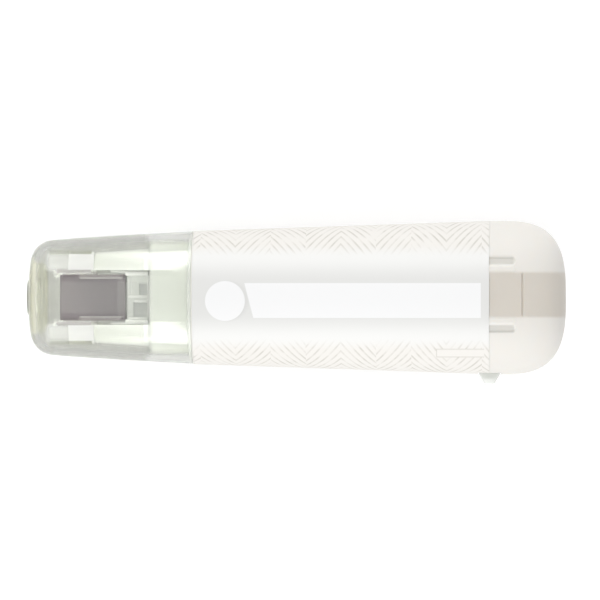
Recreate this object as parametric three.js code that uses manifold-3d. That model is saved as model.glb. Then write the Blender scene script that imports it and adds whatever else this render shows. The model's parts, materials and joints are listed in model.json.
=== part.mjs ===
// A pen style correction tape with a clear cap, in millimetres.
// Inside this file x runs along the body from the middle of its length, and a station is a distance
// back from the nose. y runs across the tape. The body lies on its barrel, so the whole group is
// tipped by the barrel's taper and lifted on to z = 0.

import * as THREE from "three";
import { mergeVertices } from "three/addons/utils/BufferGeometryUtils.js";
import Module from "manifold-3d";

const wasm = await Module();
wasm.setup();

// Facets round each shell. One facet faces straight down and is what the part rests on.
const SIDES = 32;
const REEL_SIDES = 32;
const PIN_SIDES = 16;
// How far a cut runs past the face that it opens.
const CUT_MARGIN = 1;
// How deep a joined piece is sunk into the piece that it grows from.
const ROOT_DEPTH = 0.2;

// Lengths along the body.
const CAP_LENGTH = 26.4;
const CAP_GAP = 0.3;
const BARREL_LENGTH = 47.2;
const SEAM_GAP = 0.2;
const TAIL_LENGTH = 12.1;

// Barrel and the film round it.
const BARREL_FRONT_RADIUS = 10.66;
const TAPER = 0.0337;
const BARREL_WALL = 1.3;
const FILM_THICKNESS = 0.2;
const FILM_POCKET = 0.25;
const FILM_FRONT_MARGIN = 0.4;
const FILM_REAR_MARGIN = 0.5;
const FILM_END_GAP = 0.1;
const FILM_SEAM_HALF_WIDTH = 1.7;

// Cap. Its rim is a step smaller than the barrel, and its shoulder is smaller still by the draft.
const PAD_RADIUS = 3.2;
const PAD_HEIGHT = 0.56;
const CAP_STEP = 0.06;
const CAP_DRAFT = 1.4;
const CAP_CORNER_LENGTH = 3.75;
const CAP_CORNER_HEIGHT = 3.5;
const CAP_WALL = 1.15;
const CAP_RIB_ROOM = 2.19;
const CAP_RIB_CHEEK_GAP = 0.2;
const CAP_RIB_TIP_GAP = 1.06;
const CAP_RIB_THICKNESS = 2.28;
const CAP_RIB_LEVEL = 3.0;

// Collar that the cap pushes on to.
const COLLAR_BARREL_GAP = 0.32;
const COLLAR_WALL = 1.04;
const COLLAR_REACH = 7.0;
const COLLAR_DEPTH = 4.6;
const COLLAR_CORNER_LENGTH = 1.6;
const COLLAR_LIP = 0.2;
const CAP_CLEARANCE = 0.16;

// Nose frame: a ring inside the collar with a cheek on each side of the tip.
const FRAME_CLEARANCE = 0.15;
const FRAME_WALL = 0.95;
const CHEEK_LENGTH = 8.55;
const CHEEK_DRAFT = 0.65;
const CHEEK_TIP_GAP = 0.54;
const RING_SETBACK = 0.6;
const RING_LENGTH = 6.0;

// Tape.
const TAPE_WIDTH = 5.0;
const TAPE_THICKNESS = 0.15;
const TAPE_CLEARANCE = 0.2;
const TAPE_WALL_GAP = 0.58;

// Applicator tip, from the room ahead of it in the cap back to its root ahead of the collar.
const TIP_ROOM = 3.49;
const TIP_STANDOFF = 3.6;
const TIP_EDGE_RADIUS = 0.35;
const TIP_TOP = 1.6;
const TIP_BOTTOM = -2.4;
const TIP_WALL = 0.58;
const TIP_WALL_SETBACK = 2.7;
const TIP_WALL_SLOPE = 0.7;
const TIP_WALL_RISE = 0.75;
const TIP_WALL_MARGIN = 0.5;

// Holder behind the tip, with the tongue that the tip is pressed on to.
const HOLDER_GAP = 0.3;
const HOLDER_STEP = 0.11;
const HOLDER_HALF_HEIGHT = 1.5;
const HOLDER_LENGTH = 4.6;
const TONGUE_LENGTH = 2.4;
const TONGUE_SIDE_WALL = 1.26;
const TONGUE_HALF_HEIGHT = 0.6;
const TONGUE_CLEARANCE = 0.15;
const CROSSBAR_LENGTH = 4.2;
const CROSSBAR_CLEARANCE = 0.25;
const POCKET_REAR_WALL = 1.2;
const POCKET_SIDE_WALL = 0.55;
const LARGE_POCKET_LENGTH = 2.4;
const LARGE_POCKET_INNER = 0.78;
const SMALL_POCKET_LENGTH = 1.5;
const SMALL_POCKET_INNER = 0.48;
const SMALL_POCKET_WIDTH = 1.68;

// The two reels.
const REEL_SETBACK = 35.7;
const FLANGE_TAPE_GAP = 0.4;
const FLANGE_THICKNESS = 0.6;
const FLANGE_CLEARANCE = 0.376;
const ROLL_INSET = 0.4;
const SUPPLY_CORE_RADIUS = 4.3;
const CORE_WALL = 0.6;
const TAKE_UP_FLANGE_RADIUS = 7.1;
const TAKE_UP_ROLL_RADIUS = 3.6;
const TAKE_UP_CORE_RADIUS = 2.9;
const ROLL_CLEARANCE = 0.1;

// Gears. Their module is the largest for which the supply gear clears the barrel.
const GEAR_CLEARANCE = 0.222;
const SUPPLY_TEETH = 34;
const IDLER_TEETH = 24;
const TAKE_UP_TEETH = 12;
const PRESSURE_ANGLE = THREE.MathUtils.degToRad(20);
const ADDENDUM_MODULES = 0.8;
const DEDENDUM_MODULES = 1.05;
const BACKLASH = 0.1;
const GEAR_FLANGE_GAP = 0.3;
const GEAR_THICKNESS = 1.2;
const GEAR_HUB_WALL = 0.7;
const RUNNING_CLEARANCE = 0.15;
const SUPPLY_AXLE_RADIUS = 1.9;
const TAKE_UP_AXLE_RADIUS = 1.0;
const IDLER_AXLE_RADIUS = 1.0;
const CLUTCH_WIDTH = 1.2;
const CLUTCH_SPLIT = 0.6;

// Cartridge plates and pillars. Each pillar's centre lies a little inside the plates' edges.
const PLATE_GAP = 0.4;
const PLATE_THICKNESS = 1.0;
const PLATE_CLEARANCE = 0.3;
const PLATE_REAR_OVERHANG = 3.5;
const RIB_HALF_THICKNESS = 0.6;
const RIB_END_MARGIN = 3.0;
const GUIDE_SETBACK = 1.9;
const GUIDE_INSET = 0.68;
const GUIDE_RADIUS = 0.9;
const FRONT_PILLAR_INSET = 1.18;
const MIDDLE_PILLAR_INSET = 1.02;
const PILLAR_GEAR_GAP = 0.42;
const PILLAR_RADIUS = 0.9;
const PILLAR_PIN_RADIUS = 0.6;
const SPRING_SEAT_HALF_HEIGHT = 3.0;

// Tail. Its slots and its tongue line lie a little to one side of the axis.
const TAIL_WALL = 1.3;
const TAIL_SHOULDER = 10.6;
const TAIL_ROUNDNESS = 3;
const SKIRT_LENGTH = 3.0;
const SKIRT_WALL = 0.75;
const SKIRT_CLEARANCE = 0.15;
const SLOT_CENTRE = 0.43;
const SLOT_OFFSET = 5.38;
const SLOT_WIDTH = 1.17;
const SLOT_LENGTH = 4.0;
const SLOT_DEPTH = 0.8;
const TONGUE_LINE_SETBACK = 5.1;
const TONGUE_LINE_WIDTH = 0.25;
const TONGUE_LINE_HALF_LENGTH = 3.4;
const TONGUE_LINE_DEPTH = 0.35;

// Release button and its spring.
const BUTTON_PROUD = 1.5;
const BUTTON_BASE = 3.3;
const BUTTON_TOP = 1.5;
const BUTTON_HEIGHT = 4.0;
const BUTTON_TOP_HEIGHT = 2.8;
const BUTTON_CLEARANCE = 0.2;
const BUTTON_FLANGE = 0.8;
const BUTTON_FLANGE_MARGIN = 0.8;
const BUTTON_FLANGE_CLEARANCE = 0.6;
const SPRING_RADIUS = 1.5;
const SPRING_WIRE = 0.4;
const SPRING_GAP = 0.1;

// Stations along the body that follow from the sizes above.
const LENGTH = CAP_LENGTH + CAP_GAP + BARREL_LENGTH + SEAM_GAP + TAIL_LENGTH;
const COLLAR_FRONT = CAP_LENGTH - COLLAR_REACH;
const BARREL_FRONT = CAP_LENGTH + CAP_GAP;
const BARREL_REAR = BARREL_FRONT + BARREL_LENGTH;
const TAIL_FRONT = BARREL_REAR + SEAM_GAP;
const COLLAR_REAR = BARREL_FRONT + COLLAR_DEPTH;
const CHEEK_FRONT = COLLAR_FRONT - CHEEK_LENGTH;
const RING_FRONT = COLLAR_FRONT + RING_SETBACK;
const RING_REAR = RING_FRONT + RING_LENGTH;
const TIP_FRONT = PAD_HEIGHT + CAP_WALL + TIP_ROOM;
const TIP_REAR = COLLAR_FRONT - TIP_STANDOFF;
const TIP_WALL_REAR = TIP_REAR - TIP_WALL_MARGIN;
const PLATE_FRONT = COLLAR_REAR + PLATE_CLEARANCE;
const GUIDE_STATION = PLATE_FRONT + GUIDE_SETBACK;
const SUPPLY_STATION = COLLAR_REAR + REEL_SETBACK;
const PLATE_REAR = SUPPLY_STATION + PLATE_REAR_OVERHANG;
const BUTTON_STATION = (BARREL_REAR + TAIL_FRONT) / 2;

// A station as an x coordinate.
const at = (station) => station - LENGTH / 2;

// Layers across the body, from the tape outwards. The gears and the base are on the low y side.
const FLANGE_INNER = TAPE_WIDTH / 2 + FLANGE_TAPE_GAP;
const FLANGE_OUTER = FLANGE_INNER + FLANGE_THICKNESS;
const GEAR_INNER = FLANGE_OUTER + GEAR_FLANGE_GAP;
const GEAR_OUTER = GEAR_INNER + GEAR_THICKNESS;
const BASE_INNER = GEAR_OUTER + PLATE_GAP;
const BASE_OUTER = BASE_INNER + PLATE_THICKNESS;
const COVER_INNER = FLANGE_OUTER + PLATE_GAP;
const COVER_OUTER = COVER_INNER + PLATE_THICKNESS;
const TIP_HALF_WIDTH = TAPE_WIDTH / 2 + TAPE_WALL_GAP + TIP_WALL;
const HOLDER_HALF_WIDTH = TIP_HALF_WIDTH - HOLDER_STEP;
const TONGUE_HALF_WIDTH = TIP_HALF_WIDTH - TONGUE_SIDE_WALL;
const CHEEK_WINDOW = TIP_HALF_WIDTH + CHEEK_TIP_GAP;
const CAP_RIB_INNER = TIP_HALF_WIDTH + CAP_RIB_TIP_GAP;
const CAP_RIB_OUTER = CAP_RIB_INNER + CAP_RIB_THICKNESS;

// How much nearer the axis the middle of a facet lies than its edges, and the slope of the part's
// lowest facet.
const FACET = Math.cos(Math.PI / SIDES);
const TILT = Math.atan(TAPER * FACET);
const SIDE_SHIFT = BUTTON_PROUD / 2;

// Outside radius of the barrel, carried on to the tail's front edge.
const barrelRadius = (station) => BARREL_FRONT_RADIUS + (station - BARREL_FRONT) * TAPER;
const barrelBore = (station) => barrelRadius(station) - BARREL_WALL;

// Half the height that is free in the barrel's bore at a station, for a piece that reaches out to y.
const freeHalf = (station, y) => Math.sqrt((barrelBore(station) * FACET) ** 2 - y ** 2) - PLATE_CLEARANCE;

// Radii of the pieces that fit on, in and behind the barrel.
const TAIL_RADIUS = barrelRadius(TAIL_FRONT);
const CAP_RIM_RADIUS = BARREL_FRONT_RADIUS - CAP_STEP;
const CAP_SHOULDER_RADIUS = CAP_RIM_RADIUS - CAP_DRAFT;
const CAP_FACE_RADIUS = CAP_SHOULDER_RADIUS - CAP_CORNER_HEIGHT;
const COLLAR_RADIUS = BARREL_FRONT_RADIUS - BARREL_WALL - COLLAR_BARREL_GAP;
const COLLAR_BORE = COLLAR_RADIUS - COLLAR_WALL;
const RING_RADIUS = COLLAR_BORE - FRAME_CLEARANCE;
const RING_BORE = RING_RADIUS - FRAME_WALL;
const CHEEK_FRONT_RADIUS = RING_RADIUS - CHEEK_DRAFT;
const SUPPLY_FLANGE_RADIUS = freeHalf(SUPPLY_STATION, FLANGE_OUTER) - FLANGE_CLEARANCE;
const SUPPLY_ROLL_RADIUS = SUPPLY_FLANGE_RADIUS - ROLL_INSET;

// Gear sizes, and the stations of the gears that the supply gear drives.
const SUPPLY_GEAR_RADIUS = freeHalf(SUPPLY_STATION, GEAR_OUTER) - GEAR_CLEARANCE;
const MODULE_SIZE = SUPPLY_GEAR_RADIUS / (SUPPLY_TEETH / 2 + ADDENDUM_MODULES);
const ADDENDUM = ADDENDUM_MODULES * MODULE_SIZE;
const DEDENDUM = DEDENDUM_MODULES * MODULE_SIZE;
const pitchRadius = (teeth) => (MODULE_SIZE * teeth) / 2;
const IDLER_STATION = SUPPLY_STATION - pitchRadius(SUPPLY_TEETH) - pitchRadius(IDLER_TEETH);
const TAKE_UP_STATION = IDLER_STATION - pitchRadius(IDLER_TEETH) - pitchRadius(TAKE_UP_TEETH);

// Places of the guide pin and the pillars, which keep clear of the plates' edges and the idler.
const GUIDE_LEVEL = GUIDE_INSET - freeHalf(GUIDE_STATION, BASE_OUTER);
const FRONT_PILLAR_LEVEL = freeHalf(GUIDE_STATION, BASE_OUTER) - FRONT_PILLAR_INSET;
const MIDDLE_PILLAR_LEVEL = freeHalf(IDLER_STATION, BASE_OUTER) - MIDDLE_PILLAR_INSET;
const PILLAR_REACH = pitchRadius(IDLER_TEETH) + ADDENDUM + PILLAR_GEAR_GAP + PILLAR_RADIUS;
const MIDDLE_PILLAR_STATION = IDLER_STATION + Math.sqrt(PILLAR_REACH ** 2 - MIDDLE_PILLAR_LEVEL ** 2);

// A geometry as a solid for joining and cutting. Shared corners are merged, and a shell whose faces
// point in is turned round.
function solid(geometry) {
  const bare = new THREE.BufferGeometry();
  bare.setAttribute("position", geometry.getAttribute("position").clone());
  if (geometry.index) bare.setIndex(geometry.index.clone());
  const merged = mergeVertices(bare, 1e-4);
  const index = merged.index.array;
  const kept = [];
  for (let i = 0; i < index.length; i += 3) {
    const [a, b, c] = [index[i], index[i + 1], index[i + 2]];
    if (a !== b && b !== c && c !== a) kept.push(a, b, c);
  }
  const build = (triVerts) =>
    new wasm.Manifold(
      new wasm.Mesh({
        numProp: 3,
        vertProperties: new Float32Array(merged.attributes.position.array),
        triVerts: new Uint32Array(triVerts),
      }),
    );
  const made = build(kept);
  return made.volume() < 0 ? build(kept.reverse()) : made;
}

const unite = (...solids) => solids.reduce((sum, next) => sum.add(next));

// A solid's faces as a geometry.
function geometryOf(body) {
  const mesh = body.getMesh();
  const corners = new Float32Array(mesh.numVert * 3);
  for (let i = 0; i < mesh.numVert; i++) {
    corners.set(mesh.vertProperties.subarray(i * mesh.numProp, i * mesh.numProp + 3), i * 3);
  }
  const indexed = new THREE.BufferGeometry();
  indexed.setAttribute("position", new THREE.BufferAttribute(corners, 3));
  indexed.setIndex(new THREE.BufferAttribute(mesh.triVerts, 1));
  const flat = indexed.toNonIndexed();
  flat.computeVertexNormals();
  return flat;
}

const toVectors = (points) => points.map(([a, b]) => new THREE.Vector2(a, b));

// A shell turned about the body's axis. Its profile is a closed list of [station, radius].
function turned(profile, sides = SIDES) {
  const loop = toVectors([...profile, profile[0]].map(([station, radius]) => [radius, at(station)]));
  const geometry = new THREE.LatheGeometry(loop, sides, Math.PI / sides);
  return solid(geometry.rotateZ(-Math.PI / 2));
}

// A piece turned about an axle across the body. Its profile is a closed list of [radius, y].
function turnedAcross(station, level, profile, sides = REEL_SIDES) {
  const geometry = new THREE.LatheGeometry(toVectors([...profile, profile[0]]), sides);
  return solid(geometry.translate(at(station), 0, level));
}

// A ring across the body between two y levels.
function ringAcross(station, level, inner, outer, low, high, sides = REEL_SIDES) {
  const profile = [
    [inner, low],
    [outer, low],
    [outer, high],
    [inner, high],
  ];
  return turnedAcross(station, level, profile, sides);
}

const rodAcross = (station, level, radius, low, high, sides = PIN_SIDES) =>
  ringAcross(station, level, 0, radius, low, high, sides);

// A side outline, a closed list of [station, z], given width across the body.
function slab(outline, low, high) {
  const shape = new THREE.Shape(toVectors(outline.map(([station, z]) => [at(station), z])));
  const geometry = new THREE.ExtrudeGeometry(shape, { depth: high - low, bevelEnabled: false });
  return solid(geometry.rotateX(Math.PI / 2).translate(0, high, 0));
}

// A block between two stations, two y values and two heights.
function block(front, rear, low, high, bottom, top) {
  const geometry = new THREE.BoxGeometry(rear - front, high - low, top - bottom);
  return solid(geometry.translate(at((front + rear) / 2), (low + high) / 2, (bottom + top) / 2));
}

// Points of a rounded corner from [station, radius] along the body to the wall behind it.
function cornerPoints(front, faceRadius, length, height, steps) {
  const points = [];
  for (let i = 0; i <= steps; i++) {
    const angle = (i / steps) * (Math.PI / 2);
    points.push([front + length * (1 - Math.cos(angle)), faceRadius + height * Math.sin(angle)]);
  }
  return points;
}

const CORNER_STEPS = 6;
const LIP_STEPS = 3;
const DOME_STEPS = 10;
const INNER_DOME_STEPS = 7;

function cap() {
  const face = PAD_HEIGHT;
  const cornerRear = face + CAP_CORNER_LENGTH;
  const slope = CAP_DRAFT / (CAP_LENGTH - cornerRear);
  const innerFace = face + CAP_WALL;
  const innerLength = CAP_CORNER_LENGTH - CAP_WALL;
  const innerCorner = CAP_CORNER_HEIGHT - CAP_WALL;
  const bore = COLLAR_RADIUS + CAP_CLEARANCE;
  const innerRadius = (station) => CAP_SHOULDER_RADIUS - CAP_WALL + (station - cornerRear) * slope;
  const skirtFront = COLLAR_FRONT - CAP_GAP;
  const outside = [
    [0, 0],
    [0, PAD_RADIUS - PAD_HEIGHT],
    [PAD_HEIGHT, PAD_RADIUS],
    ...cornerPoints(face, CAP_FACE_RADIUS, CAP_CORNER_LENGTH, CAP_CORNER_HEIGHT, CORNER_STEPS),
    [CAP_LENGTH, CAP_RIM_RADIUS],
  ];
  const inside = [
    [CAP_LENGTH, bore],
    [skirtFront, bore],
    [skirtFront, innerRadius(skirtFront)],
    ...cornerPoints(innerFace, CAP_FACE_RADIUS, innerLength, innerCorner, CORNER_STEPS).reverse(),
    [innerFace, 0],
  ];
  const shell = turned([...outside, ...inside]);
  const ribFront = innerFace + CAP_RIB_ROOM;
  const ribRear = CHEEK_FRONT - CAP_RIB_CHEEK_GAP;
  const envelope = turned([
    [ribFront, 0],
    [ribFront, innerRadius(ribFront) + CAP_WALL / 2],
    [ribRear, innerRadius(ribRear) + CAP_WALL / 2],
    [ribRear, 0],
  ]);
  const reach = CAP_SHOULDER_RADIUS;
  const ribs = [];
  for (const side of [-1, 1]) {
    const [low, high] = [side * CAP_RIB_INNER, side * CAP_RIB_OUTER].sort((a, b) => a - b);
    ribs.push(block(ribFront, ribRear, low, high, CAP_RIB_LEVEL, reach).intersect(envelope));
    ribs.push(block(ribFront, ribRear, low, high, -reach, -CAP_RIB_LEVEL).intersect(envelope));
  }
  return unite(shell, ...ribs);
}

// The opening that the release button passes through.
function buttonHole(clearance) {
  const half = BUTTON_BASE / 2 + clearance;
  const tall = BUTTON_HEIGHT / 2 + clearance;
  const outside = TAIL_RADIUS + BUTTON_PROUD;
  return block(BUTTON_STATION - half, BUTTON_STATION + half, -outside, -BASE_OUTER, -tall, tall);
}

// The wedge under the body where the film's two edges meet.
const filmSeam = () =>
  block(BARREL_FRONT, BARREL_REAR, -FILM_SEAM_HALF_WIDTH, FILM_SEAM_HALF_WIDTH, -TAIL_RADIUS * 2, 0);

function barrel() {
  const shell = turned([
    [BARREL_FRONT, barrelBore(BARREL_FRONT)],
    [BARREL_FRONT, barrelRadius(BARREL_FRONT)],
    [BARREL_REAR, barrelRadius(BARREL_REAR)],
    [BARREL_REAR, barrelBore(BARREL_REAR)],
  ]);
  const front = BARREL_FRONT + FILM_FRONT_MARGIN - FILM_END_GAP;
  const rear = BARREL_REAR - FILM_REAR_MARGIN + FILM_END_GAP;
  const pocket = turned([
    [front, barrelRadius(front) - FILM_POCKET],
    [front, barrelRadius(front) + FILM_POCKET],
    [rear, barrelRadius(rear) + FILM_POCKET],
    [rear, barrelRadius(rear) - FILM_POCKET],
  ]);
  return shell.subtract(pocket.subtract(filmSeam())).subtract(buttonHole(BUTTON_CLEARANCE));
}

function labelSleeve() {
  const front = BARREL_FRONT + FILM_FRONT_MARGIN;
  const rear = BARREL_REAR - FILM_REAR_MARGIN;
  const film = turned([
    [front, barrelRadius(front) - FILM_THICKNESS],
    [front, barrelRadius(front)],
    [rear, barrelRadius(rear)],
    [rear, barrelRadius(rear) - FILM_THICKNESS],
  ]);
  const halfGap = FILM_SEAM_HALF_WIDTH + FILM_END_GAP;
  const gap = block(BARREL_FRONT, BARREL_REAR, -halfGap, halfGap, -TAIL_RADIUS * 2, 0);
  return film.subtract(gap).subtract(buttonHole(BUTTON_CLEARANCE));
}

function frontCollar() {
  const lip = COLLAR_BORE + COLLAR_LIP;
  return turned([
    ...cornerPoints(COLLAR_FRONT, lip, COLLAR_CORNER_LENGTH, COLLAR_RADIUS - lip, LIP_STEPS),
    [COLLAR_REAR, COLLAR_RADIUS],
    [COLLAR_REAR, COLLAR_BORE],
    [COLLAR_FRONT, COLLAR_BORE],
  ]);
}

function noseFrame() {
  const tube = turned([
    [CHEEK_FRONT, CHEEK_FRONT_RADIUS - FRAME_WALL],
    [CHEEK_FRONT, CHEEK_FRONT_RADIUS],
    [RING_FRONT, RING_RADIUS],
    [RING_REAR, RING_RADIUS],
    [RING_REAR, RING_BORE],
    [RING_FRONT, RING_BORE],
  ]);
  const reach = RING_RADIUS + CUT_MARGIN;
  const window = block(CHEEK_FRONT - CUT_MARGIN, RING_FRONT, -CHEEK_WINDOW, CHEEK_WINDOW, -reach, reach);
  return tube.subtract(window);
}

// Side outline of the tip's wedge, from its round edge back to its flat root.
function tipOutline() {
  const edge = [TIP_FRONT + TIP_EDGE_RADIUS, 0, TIP_EDGE_RADIUS];
  const points = [];
  for (let i = 0; i <= CORNER_STEPS; i++) {
    points.push(onCircle(edge, Math.PI / 2 + (i / CORNER_STEPS) * Math.PI));
  }
  return [...points, [TIP_REAR, TIP_BOTTOM], [TIP_REAR, TIP_TOP]];
}

function applicatorTip() {
  const wedge = slab(tipOutline(), -TIP_HALF_WIDTH, TIP_HALF_WIDTH);
  const front = TIP_FRONT + TIP_WALL_SETBACK;
  const level = TIP_WALL_RISE;
  const topAt = (s) => ((s - TIP_FRONT) / (TIP_REAR - TIP_FRONT)) * TIP_TOP;
  const bottomAt = (s) => ((s - TIP_FRONT) / (TIP_REAR - TIP_FRONT)) * TIP_BOTTOM;
  const side = [
    [front, 0],
    [front + TIP_WALL_SLOPE, topAt(front) + level],
    [TIP_WALL_REAR, topAt(TIP_WALL_REAR) + level],
    [TIP_WALL_REAR, bottomAt(TIP_WALL_REAR) - level],
    [front + TIP_WALL_SLOPE, bottomAt(front) - level],
  ];
  const inner = TIP_HALF_WIDTH - TIP_WALL;
  const left = slab(side, -TIP_HALF_WIDTH, -inner);
  const right = slab(side, inner, TIP_HALF_WIDTH);
  const halfWidth = TONGUE_HALF_WIDTH + TONGUE_CLEARANCE;
  const halfHeight = TONGUE_HALF_HEIGHT + TONGUE_CLEARANCE;
  const depth = TIP_REAR - TONGUE_LENGTH - TONGUE_CLEARANCE;
  const slot = block(depth, TIP_REAR + CUT_MARGIN, -halfWidth, halfWidth, -halfHeight, halfHeight);
  return unite(wedge, left, right).subtract(slot);
}

function tipHolder() {
  const front = TIP_REAR + HOLDER_GAP;
  const rear = front + HOLDER_LENGTH;
  const halfHeight = HOLDER_HALF_HEIGHT;
  const body = block(front, rear, -HOLDER_HALF_WIDTH, HOLDER_HALF_WIDTH, -halfHeight, halfHeight);
  const tongue = block(
    TIP_REAR - TONGUE_LENGTH,
    front + ROOT_DEPTH,
    -TONGUE_HALF_WIDTH,
    TONGUE_HALF_WIDTH,
    -TONGUE_HALF_HEIGHT,
    TONGUE_HALF_HEIGHT,
  );
  const reach = Math.sqrt((RING_BORE - CROSSBAR_CLEARANCE) ** 2 - halfHeight ** 2) * FACET;
  const barFront = RING_FRONT + HOLDER_GAP;
  const bar = block(barFront, barFront + CROSSBAR_LENGTH, -reach, reach, -halfHeight, halfHeight);
  const cutHeight = halfHeight + CUT_MARGIN;
  const pocketRear = rear - POCKET_REAR_WALL;
  const pocket = (length, low, high) =>
    block(pocketRear - length, pocketRear, low, high, -cutHeight, cutHeight);
  const outer = POCKET_SIDE_WALL - HOLDER_HALF_WIDTH;
  const large = pocket(LARGE_POCKET_LENGTH, outer, -LARGE_POCKET_INNER);
  const smallOuter = SMALL_POCKET_INNER + SMALL_POCKET_WIDTH;
  const small = pocket(SMALL_POCKET_LENGTH, SMALL_POCKET_INNER, smallOuter);
  return unite(body, tongue, bar).subtract(unite(large, small));
}

// Outline of an involute gear as [x, y], with a tooth centred on the +x axis turned by phase.
function gearOutline(teeth, phase) {
  const pitch = pitchRadius(teeth);
  const base = pitch * Math.cos(PRESSURE_ANGLE);
  const tip = pitch + ADDENDUM;
  const root = pitch - DEDENDUM;
  const involute = (radius) => {
    const angle = Math.acos(Math.min(1, base / radius));
    return Math.tan(angle) - angle;
  };
  const halfTooth = Math.PI / (2 * teeth) - BACKLASH / (4 * pitch) + involute(pitch);
  const flankStart = Math.max(base, root);
  const radii = [0, 1 / 3, 2 / 3, 1].map((t) => flankStart + (tip - flankStart) * t);
  const flank = radii.map((radius) => [radius, halfTooth - involute(radius)]);
  if (root < base) flank.unshift([root, halfTooth]);
  const points = [];
  for (let tooth = 0; tooth < teeth; tooth++) {
    const centre = phase + (tooth * 2 * Math.PI) / teeth;
    const rising = flank.map(([radius, half]) => [radius, centre - half]);
    const falling = [...flank].reverse().map(([radius, half]) => [radius, centre + half]);
    for (const [radius, angle] of [...rising, ...falling]) {
      points.push([radius * Math.cos(angle), radius * Math.sin(angle)]);
    }
  }
  return points;
}

// A gear disc in the gear layer, on the base plate's side.
function gearDisc(station, teeth, phase) {
  const outline = gearOutline(teeth, phase).map(([x, y]) => [station + x, y]);
  return slab(outline, -GEAR_OUTER, -GEAR_INNER);
}

// Phase of a gear's mate, which stands along direction from it, so that a gap faces each tooth.
function meshingPhase(teeth, phase, direction, mateTeeth) {
  const offset = ((direction - phase) * teeth) / (2 * Math.PI);
  return direction + Math.PI + ((offset + 0.5) * 2 * Math.PI) / mateTeeth;
}

const FORWARD = Math.PI;
const SUPPLY_PHASE = FORWARD;
const IDLER_PHASE = meshingPhase(SUPPLY_TEETH, SUPPLY_PHASE, FORWARD, IDLER_TEETH);
const TAKE_UP_PHASE = meshingPhase(IDLER_TEETH, IDLER_PHASE, FORWARD, TAKE_UP_TEETH);

const SUPPLY_HUB_RADIUS = SUPPLY_AXLE_RADIUS + RUNNING_CLEARANCE + GEAR_HUB_WALL;
const TAKE_UP_HUB_RADIUS = TAKE_UP_CORE_RADIUS - CORE_WALL - RUNNING_CLEARANCE;

function supplyGear() {
  const bore = SUPPLY_AXLE_RADIUS + RUNNING_CLEARANCE;
  const disc = gearDisc(SUPPLY_STATION, SUPPLY_TEETH, SUPPLY_PHASE);
  const hub = rodAcross(SUPPLY_STATION, 0, SUPPLY_HUB_RADIUS, -GEAR_OUTER, FLANGE_INNER, REEL_SIDES);
  const hole = rodAcross(SUPPLY_STATION, 0, bore, -GEAR_OUTER - CUT_MARGIN, FLANGE_OUTER, REEL_SIDES);
  return unite(disc, hub).subtract(hole);
}

// The split ring that grips the hub and lets the spool slip on the gear.
function clutchRing() {
  const inner = SUPPLY_HUB_RADIUS + RUNNING_CLEARANCE;
  const outer = SUPPLY_CORE_RADIUS - CORE_WALL - RUNNING_CLEARANCE;
  const ring = ringAcross(SUPPLY_STATION, 0, inner, outer, -CLUTCH_WIDTH / 2, CLUTCH_WIDTH / 2);
  const [front, rear] = [SUPPLY_STATION - CLUTCH_SPLIT / 2, SUPPLY_STATION + CLUTCH_SPLIT / 2];
  const split = block(front, rear, -CLUTCH_WIDTH, CLUTCH_WIDTH, 0, outer + CUT_MARGIN);
  return ring.subtract(split);
}

function idlerGear() {
  const bore = IDLER_AXLE_RADIUS + RUNNING_CLEARANCE;
  const hole = rodAcross(IDLER_STATION, 0, bore, -GEAR_OUTER - CUT_MARGIN, 0);
  return gearDisc(IDLER_STATION, IDLER_TEETH, IDLER_PHASE).subtract(hole);
}

function takeUpGear() {
  const bore = TAKE_UP_AXLE_RADIUS + RUNNING_CLEARANCE;
  const disc = gearDisc(TAKE_UP_STATION, TAKE_UP_TEETH, TAKE_UP_PHASE);
  const hub = rodAcross(TAKE_UP_STATION, 0, TAKE_UP_HUB_RADIUS, -GEAR_OUTER, FLANGE_INNER);
  const hole = rodAcross(TAKE_UP_STATION, 0, bore, -GEAR_OUTER - CUT_MARGIN, FLANGE_OUTER);
  return unite(disc, hub).subtract(hole);
}

// A spool: a core with a flange at each end.
function spool(station, flangeRadius, coreRadius) {
  const bore = coreRadius - CORE_WALL;
  return turnedAcross(station, 0, [
    [bore, -FLANGE_OUTER],
    [flangeRadius, -FLANGE_OUTER],
    [flangeRadius, -FLANGE_INNER],
    [coreRadius, -FLANGE_INNER],
    [coreRadius, FLANGE_INNER],
    [flangeRadius, FLANGE_INNER],
    [flangeRadius, FLANGE_OUTER],
    [bore, FLANGE_OUTER],
  ]);
}

const roll = (station, coreRadius, rollRadius) =>
  ringAcross(station, 0, coreRadius + ROLL_CLEARANCE, rollRadius, -TAPE_WIDTH / 2, TAPE_WIDTH / 2);

// A flat plate that follows the barrel's taper, between two y values on the side given.
function plate(side, inner, outer) {
  const front = freeHalf(PLATE_FRONT, outer);
  const rear = freeHalf(PLATE_REAR, outer);
  const outline = [
    [PLATE_FRONT, -front],
    [PLATE_REAR, -rear],
    [PLATE_REAR, rear],
    [PLATE_FRONT, front],
  ];
  return side < 0 ? slab(outline, -outer, -inner) : slab(outline, inner, outer);
}

// The rib along a plate's outer face that centres the cartridge in the barrel.
function centringRib(side, outer) {
  const front = PLATE_FRONT;
  const rear = PLATE_REAR - RIB_END_MARGIN;
  const reach = barrelBore(front) * FACET - PLATE_CLEARANCE;
  const [low, high] = side < 0 ? [-reach, ROOT_DEPTH - outer] : [outer - ROOT_DEPTH, reach];
  return block(front, rear, low, high, -RIB_HALF_THICKNESS, RIB_HALF_THICKNESS);
}

const PILLARS = [
  [GUIDE_STATION, GUIDE_LEVEL, GUIDE_RADIUS],
  [GUIDE_STATION, FRONT_PILLAR_LEVEL, PILLAR_RADIUS],
  [MIDDLE_PILLAR_STATION, -MIDDLE_PILLAR_LEVEL, PILLAR_RADIUS],
  [MIDDLE_PILLAR_STATION, MIDDLE_PILLAR_LEVEL, PILLAR_RADIUS],
];

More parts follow.
